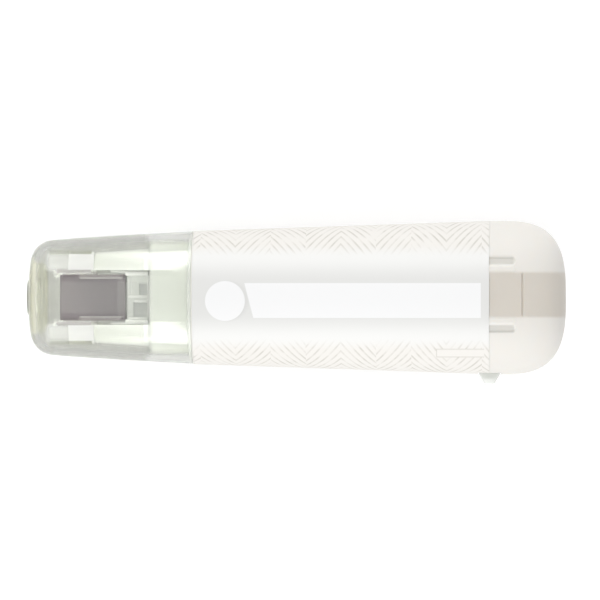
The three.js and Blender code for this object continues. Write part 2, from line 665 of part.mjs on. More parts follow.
function cartridgeBase() {
  const springSeat = block(
    PLATE_REAR - ROOT_DEPTH,
    BUTTON_STATION + BUTTON_BASE / 2 + BUTTON_FLANGE_MARGIN,
    -BASE_OUTER,
    -BASE_INNER,
    -SPRING_SEAT_HALF_HEIGHT,
    SPRING_SEAT_HALF_HEIGHT,
  );
  const parts = [plate(-1, BASE_INNER, BASE_OUTER), centringRib(-1, BASE_OUTER), springSeat];
  const sunk = -BASE_INNER - ROOT_DEPTH;
  const shoulder = COVER_INNER - RUNNING_CLEARANCE;
  for (const [station, level, radius] of PILLARS) {
    parts.push(rodAcross(station, level, radius, sunk, shoulder));
    parts.push(rodAcross(station, level, PILLAR_PIN_RADIUS, 0, COVER_OUTER));
  }
  parts.push(rodAcross(SUPPLY_STATION, 0, SUPPLY_AXLE_RADIUS, sunk, COVER_OUTER, REEL_SIDES));
  parts.push(rodAcross(TAKE_UP_STATION, 0, TAKE_UP_AXLE_RADIUS, sunk, COVER_OUTER));
  parts.push(rodAcross(IDLER_STATION, 0, IDLER_AXLE_RADIUS, sunk, -GEAR_INNER + RUNNING_CLEARANCE));
  return unite(...parts);
}

function cartridgeCover() {
  const body = unite(plate(1, COVER_INNER, COVER_OUTER), centringRib(1, COVER_OUTER));
  const holeEnd = COVER_OUTER + RUNNING_CLEARANCE;
  const hole = (station, level, radius) =>
    rodAcross(station, level, radius + RUNNING_CLEARANCE, COVER_INNER - CUT_MARGIN, holeEnd);
  const holes = [
    ...PILLARS.map(([station, level]) => hole(station, level, PILLAR_PIN_RADIUS)),
    hole(SUPPLY_STATION, 0, SUPPLY_AXLE_RADIUS),
    hole(TAKE_UP_STATION, 0, TAKE_UP_AXLE_RADIUS),
  ];
  const post = rodAcross(
    IDLER_STATION,
    0,
    IDLER_AXLE_RADIUS,
    -GEAR_INNER + RUNNING_CLEARANCE * 2,
    COVER_INNER + ROOT_DEPTH,
  );
  return unite(body.subtract(unite(...holes)), post);
}

// Angle of the line that touches two circles on the same side, as the direction from each centre to
// its touching point. turn is 1 or -1 for the side.
function beltAngle([x0, z0, r0], [x1, z1, r1], turn) {
  const distance = Math.hypot(x1 - x0, z1 - z0);
  return Math.atan2(z1 - z0, x1 - x0) + turn * Math.acos((r0 - r1) / distance);
}

// An angle brought to within half a turn of zero.
const halfTurn = (angle) => THREE.MathUtils.euclideanModulo(angle + Math.PI, 2 * Math.PI) - Math.PI;

const onCircle = ([x, z, r], angle) => [x + r * Math.cos(angle), z + r * Math.sin(angle)];

// Largest turn, in radians, between two points of a strip round a bend.
const BEND_STEP = 0.3;

// Points that follow a taut strip round a list of circles, all on the same side of the strip.
function beltPath(circles, turn) {
  const points = [];
  circles.forEach((circle, i) => {
    const arriving = i > 0 ? beltAngle(circles[i - 1], circle, turn) : undefined;
    const leaving = i < circles.length - 1 ? beltAngle(circle, circles[i + 1], turn) : undefined;
    const start = arriving ?? leaving;
    const sweep = halfTurn((leaving ?? start) - start);
    const steps = Math.max(1, Math.ceil(Math.abs(sweep) / BEND_STEP));
    const last = arriving === undefined || leaving === undefined ? 0 : steps;
    for (let k = 0; k <= last; k++) points.push(onCircle(circle, start + (sweep * k) / steps));
  });
  return points;
}

// A strip of tape along points of [station, z], with its thickness split about them.
function strip(points) {
  const half = TAPE_THICKNESS / 2;
  const sideOf = (sign) =>
    points.map(([x, z], i) => {
      const [xa, za] = points[Math.max(0, i - 1)];
      const [xb, zb] = points[Math.min(points.length - 1, i + 1)];
      const run = Math.hypot(xb - xa, zb - za);
      return [x - (sign * half * (zb - za)) / run, z + (sign * half * (xb - xa)) / run];
    });
  return slab([...sideOf(1), ...sideOf(-1).reverse()], -TAPE_WIDTH / 2, TAPE_WIDTH / 2);
}

const STRIP_LIFT = TAPE_CLEARANCE + TAPE_THICKNESS / 2;
const SUPPLY_CIRCLE = [SUPPLY_STATION, 0, SUPPLY_ROLL_RADIUS + STRIP_LIFT];
const GUIDE_CIRCLE = [GUIDE_STATION, GUIDE_LEVEL, GUIDE_RADIUS + STRIP_LIFT];
const EDGE_CIRCLE = [TIP_FRONT + TIP_EDGE_RADIUS, 0, TIP_EDGE_RADIUS + STRIP_LIFT];
const ROOT_CIRCLE = [TIP_WALL_REAR, TIP_TOP - TIP_EDGE_RADIUS, TIP_EDGE_RADIUS + STRIP_LIFT];
const TAKE_UP_CIRCLE = [TAKE_UP_STATION, 0, TAKE_UP_ROLL_RADIUS + STRIP_LIFT];

// The coated tape runs under the guide pin and ends at the tip's edge.
const feedTape = () => strip(beltPath([SUPPLY_CIRCLE, GUIDE_CIRCLE, EDGE_CIRCLE], 1));

// The bare film turns round the edge and runs back over the tip.
const returnFilm = () => strip(beltPath([EDGE_CIRCLE, ROOT_CIRCLE, TAKE_UP_CIRCLE], 1));

// Points of a squarish dome that ends on the axis at the station given.
function domePoints(radius, end, length, steps) {
  const points = [];
  for (let i = 0; i < steps; i++) {
    const angle = (i / steps) * (Math.PI / 2);
    const along = length * Math.sin(angle) ** (2 / TAIL_ROUNDNESS);
    points.push([end - length + along, radius * Math.cos(angle) ** (2 / TAIL_ROUNDNESS)]);
  }
  return [...points, [end, 0]];
}

const SKIRT_OUTER = barrelBore(TAIL_FRONT - SKIRT_LENGTH) - SKIRT_CLEARANCE;
const SKIRT_INNER = SKIRT_OUTER - SKIRT_WALL;
const BUTTON_FLANGE_OUTER = SKIRT_INNER * FACET - BUTTON_FLANGE_CLEARANCE;

function tailShell() {
  const rear = TAIL_FRONT + TAIL_LENGTH;
  const shoulder = rear - TAIL_SHOULDER;
  const outside = domePoints(TAIL_RADIUS, rear, TAIL_SHOULDER, DOME_STEPS);
  const innerRadius = TAIL_RADIUS - TAIL_WALL;
  const inside = domePoints(innerRadius, rear - TAIL_WALL, TAIL_SHOULDER - TAIL_WALL, INNER_DOME_STEPS);
  const shell = turned([
    [TAIL_FRONT - SKIRT_LENGTH, SKIRT_INNER],
    [TAIL_FRONT - SKIRT_LENGTH, SKIRT_OUTER],
    [TAIL_FRONT, SKIRT_OUTER],
    [TAIL_FRONT, TAIL_RADIUS],
    ...outside,
    ...inside.reverse(),
    [shoulder, SKIRT_INNER],
  ]);
  const cuts = [];
  for (const side of [-1, 1]) {
    const centre = SLOT_CENTRE + side * SLOT_OFFSET;
    const surface = Math.sqrt(TAIL_RADIUS ** 2 - centre ** 2);
    const [low, high] = [centre - SLOT_WIDTH / 2, centre + SLOT_WIDTH / 2];
    cuts.push(block(TAIL_FRONT, TAIL_FRONT + SLOT_LENGTH, low, high, surface - SLOT_DEPTH, TAIL_RADIUS));
  }
  const line = TAIL_FRONT + TONGUE_LINE_SETBACK;
  const lineFloor = TAIL_RADIUS - TONGUE_LINE_DEPTH;
  const [lineLow, lineHigh] = [SLOT_CENTRE - TONGUE_LINE_HALF_LENGTH, SLOT_CENTRE + TONGUE_LINE_HALF_LENGTH];
  const lineTop = TAIL_RADIUS + CUT_MARGIN;
  cuts.push(block(line, line + TONGUE_LINE_WIDTH, lineLow, lineHigh, lineFloor, lineTop));
  return shell.subtract(unite(...cuts)).subtract(buttonHole(BUTTON_CLEARANCE));
}

// A block that narrows towards its outer face, which points to low y.
function taperedHead(station, outer, inner, base, top) {
  const unit = Math.SQRT1_2;
  const head = new THREE.CylinderGeometry(unit, unit, inner - outer, 4, 1, false, Math.PI / 4);
  const corners = head.getAttribute("position");
  for (let i = 0; i < corners.count; i++) {
    const [along, high] = corners.getY(i) < 0 ? top : base;
    corners.setX(i, corners.getX(i) * along);
    corners.setZ(i, corners.getZ(i) * high);
  }
  return solid(head.translate(at(station), (outer + inner) / 2, 0));
}

function releaseButton() {
  const outer = TAIL_RADIUS;
  const stem = block(
    BUTTON_STATION - BUTTON_BASE / 2,
    BUTTON_STATION + BUTTON_BASE / 2,
    -outer,
    ROOT_DEPTH - BUTTON_FLANGE_OUTER,
    -BUTTON_HEIGHT / 2,
    BUTTON_HEIGHT / 2,
  );
  const half = BUTTON_BASE / 2 + BUTTON_FLANGE_MARGIN;
  const tall = BUTTON_HEIGHT / 2 + BUTTON_FLANGE_MARGIN;
  const flange = block(
    BUTTON_STATION - half,
    BUTTON_STATION + half,
    -BUTTON_FLANGE_OUTER,
    -BUTTON_FLANGE_OUTER + BUTTON_FLANGE,
    -tall,
    tall,
  );
  const base = [BUTTON_BASE, BUTTON_HEIGHT];
  const top = [BUTTON_TOP, BUTTON_TOP_HEIGHT];
  const head = taperedHead(BUTTON_STATION, -outer - BUTTON_PROUD, -outer, base, top);
  return unite(stem, flange, head);
}

function releaseSpring() {
  const outer = -BUTTON_FLANGE_OUTER + BUTTON_FLANGE + SPRING_GAP;
  const inner = -BASE_OUTER - SPRING_GAP;
  return ringAcross(BUTTON_STATION, 0, SPRING_RADIUS - SPRING_WIRE, SPRING_RADIUS, outer, inner, PIN_SIDES);
}

const clearPlastic = { color: 0xdfe5dc, roughness: 0.15, metalness: 0 };
const whitePlastic = { color: 0xf6f4ef, roughness: 0.45, metalness: 0 };
const creamPlastic = { color: 0xe9e5dc, roughness: 0.5, metalness: 0 };
const darkPlastic = { color: 0x6f6a70, roughness: 0.45, metalness: 0 };
const gearPlastic = { color: 0xe4e4e0, roughness: 0.4, metalness: 0 };
const tapeWhite = { color: 0xffffff, roughness: 0.7, metalness: 0 };
const filmClear = { color: 0xe8e8e4, roughness: 0.2, metalness: 0 };
const springSteel = { color: 0xa8a8a8, roughness: 0.3, metalness: 1 };

const PIECES = [
  ["cap", cap(), clearPlastic],
  ["barrel", barrel(), whitePlastic],
  ["label_sleeve", labelSleeve(), whitePlastic],
  ["front_collar", frontCollar(), clearPlastic],
  ["nose_frame", noseFrame(), clearPlastic],
  ["applicator_tip", applicatorTip(), darkPlastic],
  ["tip_holder", tipHolder(), clearPlastic],
  ["cartridge_base", cartridgeBase(), whitePlastic],
  ["cartridge_cover", cartridgeCover(), whitePlastic],
  ["supply_spool", spool(SUPPLY_STATION, SUPPLY_FLANGE_RADIUS, SUPPLY_CORE_RADIUS), gearPlastic],
  ["tape_roll", roll(SUPPLY_STATION, SUPPLY_CORE_RADIUS, SUPPLY_ROLL_RADIUS), tapeWhite],
  ["supply_gear", supplyGear(), gearPlastic],
  ["clutch_ring", clutchRing(), springSteel],
  ["idler_gear", idlerGear(), gearPlastic],
  ["take_up_gear", takeUpGear(), gearPlastic],
  ["take_up_spool", spool(TAKE_UP_STATION, TAKE_UP_FLANGE_RADIUS, TAKE_UP_CORE_RADIUS), gearPlastic],
  ["used_film_roll", roll(TAKE_UP_STATION, TAKE_UP_CORE_RADIUS, TAKE_UP_ROLL_RADIUS), filmClear],
  ["feed_tape", feedTape(), tapeWhite],
  ["return_film", returnFilm(), filmClear],
  ["tail_shell", tailShell(), creamPlastic],
  ["release_button", releaseButton(), clearPlastic],
  ["release_spring", releaseSpring(), springSteel],
];

const correctionTape = new THREE.Group();
for (const [name, body, finish] of PIECES) {
  const mesh = new THREE.Mesh(geometryOf(body), new THREE.MeshStandardMaterial(finish));
  mesh.name = name;
  correctionTape.add(mesh);
}
correctionTape.rotation.y = -TILT;
correctionTape.position.set(0, SIDE_SHIFT, barrelRadius(LENGTH / 2) * FACET * Math.cos(TILT));

export default correctionTape;
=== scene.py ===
"""Dresses a pen style correction tape: clear cap, printed barrel, cream tail and the geared reels inside.

Sizes are in millimetres, except the studio's, which are in metres.
"""

import json
import logging
import math
from collections.abc import Callable, Sequence
from dataclasses import dataclass, replace
from enum import Enum
from functools import cache

import bmesh
import bpy
import numpy as np
from mathutils import Matrix, Vector


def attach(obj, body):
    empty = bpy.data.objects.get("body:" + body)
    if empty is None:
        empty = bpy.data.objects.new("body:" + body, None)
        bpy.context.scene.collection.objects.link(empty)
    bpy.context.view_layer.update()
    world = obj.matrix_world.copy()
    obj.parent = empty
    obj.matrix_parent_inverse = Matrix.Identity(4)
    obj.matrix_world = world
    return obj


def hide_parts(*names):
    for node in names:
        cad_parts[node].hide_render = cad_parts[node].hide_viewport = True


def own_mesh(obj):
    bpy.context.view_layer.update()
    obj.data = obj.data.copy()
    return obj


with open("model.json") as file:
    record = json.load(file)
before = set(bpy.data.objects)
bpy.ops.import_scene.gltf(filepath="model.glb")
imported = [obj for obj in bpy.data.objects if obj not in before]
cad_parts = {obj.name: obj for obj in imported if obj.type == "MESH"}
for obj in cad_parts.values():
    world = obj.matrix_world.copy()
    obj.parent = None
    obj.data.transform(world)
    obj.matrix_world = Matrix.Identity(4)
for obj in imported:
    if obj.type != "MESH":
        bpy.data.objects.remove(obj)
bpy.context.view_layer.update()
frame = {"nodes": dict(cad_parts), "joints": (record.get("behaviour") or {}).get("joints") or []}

LOG = logging.getLogger("correction_tape")
MM = 0.001
# Pieces that a shell is divided into all the way round.
ROUND_STEPS = 144
# Angle in degrees above which an edge is shaded sharp, unless a piece says otherwise.
SHARP_ANGLE = 35.0
# The same angle for a piece whose edges have been rounded.
EASED_SHARP_ANGLE = 45.0
# Faces that meet at a smaller angle in degrees become one face before a piece's edges are rounded.
FLAT_ANGLE = 1.0
# Corners nearer than this are welded, and edges shorter than a sliver are dissolved, in metres.
WELD = 1e-7
SLIVER = 1e-8
# How far a box that cuts reaches past what it cuts, in millimetres.
SPARE = 1.0

Pair = tuple[float, float]
Triple = tuple[float, float, float]
Colour = Triple
Socket = bpy.types.NodeSocket
Source = Socket | float


@dataclass(frozen=True)
class BodyAxis:
    """The line that the shells are turned about.

    Body places are (station, y, z) in millimetres: the distance back from the nose, across the tape, and up
    from the axis.
    """

    origin: Vector
    along: Vector
    up: Vector

    # How far back from the nose the supply reel's axle stands.
    REEL_STATION = 67.0

    @classmethod
    def from_joints(cls, joints: Sequence[dict]) -> "BodyAxis":
        """Finds the axis from the cap's slide and the supply reel's axle.

        Args:
            joints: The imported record's joints.

        Returns:
            The axis, with its origin at the nose.
        """
        named = {joint["name"]: joint for joint in joints}
        along = -Vector(named["cap_pull"]["axis"])
        origin = Vector(named["supply_reel_turn"]["pos_m"]) - along * cls.REEL_STATION * MM
        return cls(origin, along, along.cross(Vector((0, 1, 0))))

    def to_row(self, places: np.ndarray) -> np.ndarray:
        """Takes body places to the row frame, in metres."""
        turned = places @ np.array((self.along, (0.0, 1.0, 0.0), self.up)) * MM
        return turned + np.array(self.origin)

    def station_turn(self) -> tuple[Vector, float]:
        """Gives the shift in millimetres and the turn about Y that take row places to body places."""
        turn = math.atan2(self.along.z, self.along.x)
        return -(Matrix.Rotation(turn, 3, "Y") @ self.origin / MM), turn


AXIS = BodyAxis.from_joints(frame["joints"])


class Sheet:
    """The nodes of a material or a world, with short ways to add and join them."""

    # Where a Mix node has its two colours among its inputs, and their mixture among its outputs.
    MIX_COLOURS = (6, 7)
    MIX_RESULT = 2

    def __init__(self, owner: bpy.types.Material | bpy.types.World) -> None:
        """Clears the owner's nodes away.

        Args:
            owner: The material or world.
        """
        owner.use_nodes = True
        self.tree = owner.node_tree
        self.tree.nodes.clear()

    def add(self, kind: str, inputs: dict | None = None, **settings: object) -> bpy.types.Node:
        """Adds a node.

        Args:
            kind: The node's type, without its ShaderNode prefix.
            inputs: Values or sockets for the inputs, by name or place.
            settings: The node's own settings.

        Returns:
            The node.
        """
        node = self.tree.nodes.new("ShaderNode" + kind)
        for key, value in settings.items():
            setattr(node, key, value)
        for key, value in (inputs or {}).items():
            socket = node.inputs[key]
            if isinstance(value, Socket):
                self.tree.links.new(value, socket)
            else:
                socket.default_value = value
        return node

    def math(self, operation: str, *values: Source) -> Socket:
        """Joins up to three values in a math node."""
        return self.add("Math", dict(enumerate(values)), operation=operation).outputs[0]

    def times(self, first: Source, *others: Source) -> Source:
        """Multiplies values.

        Args:
            first: The first value.
            others: What it is multiplied by.

        Returns:
            The product.
        """
        for other in others:
            first = self.math("MULTIPLY", first, other)
        return first

    def largest(self, first: Source, second: Source) -> Socket:
        """Gives the larger of two values."""
        return self.math("MAXIMUM", first, second)

    def away(self, value: Source, place: float = 0.0) -> Socket:
        """Gives how far a value is from a place, on either side."""
        return self.math("ABSOLUTE", self.math("SUBTRACT", value, place))

    def distance(self, along: Source, across: Source) -> Socket:
        """Gives the distance that two steps at right angles make."""
        squares = [self.math("POWER", side, 2.0) for side in (along, across)]
        return self.math("SQRT", self.math("ADD", *squares))

    def step(self, value: Source, low: float, high: float) -> Socket:
        """Goes smoothly from 0 at low to 1 at high, which may be below low."""
        inputs = {"Value": value, "From Min": low, "From Max": high}
        return self.add("MapRange", inputs, interpolation_type="SMOOTHSTEP").outputs[0]

    def rise(self, value: Source, place: float, soft: float) -> Socket:
        """Goes from 0 to 1 round a place, over a soft edge of that width."""
        return self.step(value, place - soft / 2, place + soft / 2)

    def fall(self, value: Source, place: float, soft: float) -> Socket:
        """Goes from 1 to 0 round a place, over a soft edge of that width."""
        return self.step(value, place + soft / 2, place - soft / 2)

    def band(self, value: Source, low: float, high: float, soft: float) -> Socket:
        """Gives 1 between two values and 0 outside them, with soft edges of that width."""
        return self.times(self.rise(value, low, soft), self.fall(value, high, soft))

    def between(self, share: Source, low: float, high: float) -> Socket:
        """Spreads a share from 0 to 1 over a range."""
        return self.add("MapRange", {"Value": share, "To Min": low, "To Max": high}).outputs[0]

    def mix(self, share: Source, first: Colour | Socket, second: Colour | Socket) -> Socket:
        """Mixes two colours.

        Args:
            share: The second colour's share.
            first: The first colour.
            second: The second colour.

        Returns:
            The mixture.
        """
        opaque = [(*colour, 1.0) if isinstance(colour, tuple) else colour for colour in (first, second)]
        inputs = {0: share, **dict(zip(self.MIX_COLOURS, opaque))}
        return self.add("Mix", inputs, data_type="RGBA").outputs[self.MIX_RESULT]

    def clouded(self, cloud: Source, colour: Colour, shade: float) -> Socket:
        """Mixes a colour with a darker one, which is the colour times a shade."""
        return self.mix(cloud, tuple(c * shade for c in colour), colour)

    def row_places(self, **turned: object) -> Socket:
        """Gives places in the row frame in millimetres, or turned and shifted from there."""
        coordinates = self.add("TexCoord").outputs["Object"]
        return self.add("Mapping", {"Vector": coordinates, "Scale": (1 / MM,) * 3, **turned}).outputs[0]

    def body_places(self) -> Socket:
        """Gives body places, in millimetres."""
        shift, turn = AXIS.station_turn()
        return self.row_places(Rotation=(0, turn, 0), Location=shift)

    def split(self, vector: Socket) -> bpy.types.bpy_prop_collection:
        """Splits a place into its three numbers."""
        return self.add("SeparateXYZ", {0: vector}).outputs

    def noise(self, places: Socket, size: float, detail: float = 3.0) -> Socket:
        """Gives noise from 0 to 1, with spots of a size in millimetres and octaves of finer detail."""
        return self.add("TexNoise", {"Vector": places, "Scale": 1 / size, "Detail": detail}).outputs["Fac"]

    def bump(self, height: Socket, depth: float) -> Socket:
        """Turns a height between 0 and 1 into a normal, for a bump of a depth in millimetres."""
        return self.add("Bump", {"Height": height, "Distance": depth * MM, "Strength": 1.0}).outputs[0]


@dataclass(frozen=True)
class Finish:
    """What every finish has: a name, and a material of one Principled shader."""

    name: str

    def inputs(self, sheet: Sheet) -> dict[str, object]:
        """Gives the shader's inputs, which each finish mixes in its own way."""
        raise NotImplementedError

    def volume(self, sheet: Sheet) -> bpy.types.Node | None:
        """Gives what fills the piece, which is nothing in most finishes."""
        return None

    @cache
    def material(self) -> bpy.types.Material:
        """Builds the material, once for each finish.

        Returns:
            The material.
        """
        material = bpy.data.materials.new(self.name)
        sheet = Sheet(material)
        ends = {"Surface": sheet.add("BsdfPrincipled", self.inputs(sheet)).outputs[0]}
        volume = self.volume(sheet)
        if volume:
            ends["Volume"] = volume.outputs[0]
        sheet.add("OutputMaterial", ends)
        return material


@dataclass(frozen=True)
class MouldedPlastic(Finish):
    """An opaque moulded plastic with faint flow marks and a fine spark-eroded grain.

    Milk is the share of light that goes into the plastic and comes out nearby.
    """

    colour: Colour
    roughness: float
    gloss: float = 0.5
    milk: float = 0.0
    milk_radius: Triple = (0.6, 0.5, 0.4)
    flow_size: float = 6.0
    flow_shade: float = 0.94
    grain_size: float = 0.12
    grain_depth: float = 0.004
    smoother: float = 0.05
    rougher: float = 0.08

    def tint(self, sheet: Sheet, colour: Socket) -> Socket:
        """Changes the colour from place to place, which a plain moulding doesn't need."""
        return colour

    def inputs(self, sheet: Sheet) -> dict[str, object]:
        """Mixes flow marks into the colour and adds the grain.

        Args:
            sheet: The material's nodes.

        Returns:
            The shader's inputs.
        """
        places = sheet.row_places()
        flow = sheet.noise(places, self.flow_size)
        grain = sheet.noise(places, self.grain_size)
        return {
            "Base Color": self.tint(sheet, sheet.clouded(flow, self.colour, self.flow_shade)),
            "Roughness": sheet.between(grain, self.roughness - self.smoother, self.roughness + self.rougher),
            "Specular IOR Level": self.gloss,
            "Subsurface Weight": self.milk,
            "Subsurface Radius": self.milk_radius,
            "Subsurface Scale": MM,
            "Normal": sheet.bump(grain, self.grain_depth),
        }


@dataclass(frozen=True)
class TailPlastic(MouldedPlastic):
    """The tail's cream plastic, with painted shade: a darker middle band along the top, and darker finger
    slots.
    """

    # Painted shade: the sides keep this paler colour, the middle band along the top is darker, and the slots
    # take the darker slot colour.
    side_colour: Colour = (0.755, 0.735, 0.695)
    slot_shade_colour: Colour = (0.64, 0.625, 0.585)
    centre: float = 0.45
    side_from: float = 3.25
    side_full: float = 3.9
    band_fades: float = 3.0
    band_ends: float = -4.0
    slot_inner: float = 4.78
    slot_outer: float = 5.98
    slot_rear: float = 77.9
    slot_soft: float = 0.25
    slot_end_soft: float = 0.4
    upper_half: Pair = (0.0, 1.0)

    def tint(self, sheet: Sheet, colour: Socket) -> Socket:
        """Paints shade: the middle band along the top is darker than the sides, and the slots are darker than
        the sides.

        Args:
            sheet: The material's nodes.
            colour: The plastic's colour.

        Returns:
            The colour that is used.
        """
        station, y, z = sheet.split(sheet.body_places())
        reach = sheet.away(y, self.centre)
        # Painted shade: the middle band along the top stays darker than the sides.
        side = sheet.largest(sheet.step(reach, self.side_from, self.side_full),
                             sheet.step(z, self.band_fades, self.band_ends))
        # Painted shade in the finger slots.
        slot = sheet.times(sheet.band(reach, self.slot_inner, self.slot_outer, self.slot_soft),
                           sheet.fall(station, self.slot_rear, self.slot_end_soft),
                           sheet.step(z, *self.upper_half))
        return sheet.mix(slot, sheet.mix(side, colour, self.side_colour), self.slot_shade_colour)


@dataclass(frozen=True)
class Haze:
    """A stretch of a clear moulding with its own colour and milkiness. Most are milky, because the moulding
    is thick or has a rough edge; some carry a painted highlight, painted shade or painted side light instead.

    Its width is counted from the middle plane, on both sides. Its colour replaces the moulding's, and its
    share is the part of the clearness that it takes away.
    """

    front: float
    rear: float
    inner: float
    outer: float
    soft: float
    share: float
    colour: Colour = (0.99, 0.995, 0.985)


@dataclass(frozen=True)
class ClearPlastic(Finish):
    """A clear or milky moulded plastic, whose walls ripple slightly as moulded walls do."""

    colour: Colour
    clearness: float
    roughness: float
    index: float = 1.49
    gloss: float = 0.5
    cloud_size: float = 3.0
    cloud_shade: float = 0.99
    ripple_size: float = 5.0
    ripple_depth: float = 0.01
    depth_colour: Colour = (0.64, 0.66, 0.42)
    depth_density: float = 0.0
    milk: float = 0.0
    milk_depth: float = 1.0
    hazes: tuple[Haze, ...] = ()

    def haze(self, sheet: Sheet, colour: Socket) -> tuple[Source, Socket]:
        """Gives the clearness that the hazes leave, and the colour with theirs in it, painted highlight,
        shade and side light included.

        Args:
            sheet: The material's nodes.
            colour: The plastic's colour.

        Returns:
            The clearness and the colour.
        """
        station, y, _ = sheet.split(sheet.body_places())
        reach = sheet.away(y)
        taken = 0.0
        for haze in self.hazes:
            inside = sheet.times(sheet.band(station, haze.front, haze.rear, haze.soft),
                                 sheet.band(reach, haze.inner, haze.outer, haze.soft))
            if haze.share:
                taken = sheet.largest(taken, sheet.times(inside, haze.share))
            colour = sheet.mix(inside, colour, haze.colour)
        if not taken:
            return self.clearness, colour
        return sheet.times(sheet.math("SUBTRACT", 1.0, taken), self.clearness), colour

    def inputs(self, sheet: Sheet) -> dict[str, object]:
        """Mixes the hazes into the colour and the clearness, and adds the ripple.

        Args:
            sheet: The material's nodes.

        Returns:
            The shader's inputs.
        """
        places = sheet.row_places()
        cloud = sheet.noise(places, self.cloud_size)
        clearness, colour = self.haze(sheet, sheet.clouded(cloud, self.colour, self.cloud_shade))
        return {
            "Base Color": colour,
            "Roughness": self.roughness,
            "IOR": self.index,
            "Specular IOR Level": self.gloss,
            "Transmission Weight": clearness,
            "Subsurface Weight": self.milk,
            "Subsurface Radius": (self.milk_depth,) * 3,
            "Subsurface Scale": MM,
            "Normal": sheet.bump(sheet.noise(places, self.ripple_size, detail=1.0), self.ripple_depth),
        }

    def volume(self, sheet: Sheet) -> bpy.types.Node | None:
        """Tints a deep moulding, and leaves a shallow one untinted."""
        inputs = {"Color": (*self.depth_colour, 1.0), "Density": self.depth_density}
        return sheet.add("VolumeAbsorption", inputs) if self.depth_density else None


@dataclass(frozen=True)
class HolderPlastic(Finish):
    """The holder's natural plastic, with a paler panel, painted highlights on its rib tops and shoulders, and
    painted shade in its pockets.
    """

    name: str = "frosted block"
    colour: Colour = (0.76, 0.775, 0.75)
    cloud_size: float = 1.6
    cloud_shade: float = 0.97
    cloud_depth: float = 0.006
    # Painted highlight on the rib tops and on the shoulders.
    rib_highlight_colour: Colour = (0.975, 0.985, 0.965)
    rib_level: float = 1.6
    rib_soft: float = 0.12
    shoulder_from: float = 3.42
    shoulder_soft: float = 0.08
    panel_colour: Colour = (0.84, 0.86, 0.82)
    panel_share: float = 0.7
    panel_front: float = 16.85
    panel_low: float = 0.45
    panel_soft: float = 0.1
    # Painted shade in the pockets.
    pocket_shade_colour: Colour = (0.64, 0.655, 0.64)
    pocket_level: float = 1.2
    pocket_soft: float = 0.2
    roughness: float = 0.2

    def inputs(self, sheet: Sheet) -> dict[str, object]:
        """Colours the panel, and paints shade in the pockets and highlights on the ribs and shoulders.

        Args:
            sheet: The material's nodes.

        Returns:
            The shader's inputs.
        """
        places = sheet.body_places()
        station, y, z = sheet.split(places)
        cloud = sheet.noise(places, self.cloud_size)
        panel = sheet.times(sheet.rise(station, self.panel_front, self.panel_soft),
                            sheet.rise(y, self.panel_low, self.panel_soft), self.panel_share)
        colour = sheet.mix(panel, sheet.clouded(cloud, self.colour, self.cloud_shade), self.panel_colour)
        # Painted shade in the pockets.
        colour = sheet.mix(sheet.fall(z, self.pocket_level, self.pocket_soft), colour, self.pocket_shade_colour)
        # Painted highlight on the rib tops and the shoulders.
        rib = sheet.largest(sheet.rise(z, self.rib_level, self.rib_soft),
                            sheet.rise(sheet.away(y), self.shoulder_from, self.shoulder_soft))
        return {
            "Base Color": sheet.mix(rib, colour, self.rib_highlight_colour),
            "Roughness": self.roughness,
            "Normal": sheet.bump(cloud, self.cloud_depth),
        }


@dataclass(frozen=True)
class ThinFilm(Finish):
    """A thin clear film, which only tints and mirrors, because it is too thin to bend what is behind it."""

    name: str = "bare film"
    colour: Colour = (0.93, 0.945, 0.92)
    cover: float = 0.045
    roughness: float = 0.08
    streak_size: float = 1.8
    streak_shade: float = 0.95
    streak_depth: float = 0.004

    def inputs(self, sheet: Sheet) -> dict[str, object]:
        """Streaks the film, which lets most of what is behind it through.

        Args:
            sheet: The material's nodes.

        Returns:
            The shader's inputs.
        """
        streaks = sheet.noise(sheet.row_places(), self.streak_size)
        return {
            "Base Color": sheet.clouded(streaks, self.colour, self.streak_shade),
            "Roughness": self.roughness,
            "Alpha": self.cover,
            "Normal": sheet.bump(streaks, self.streak_depth),
        }


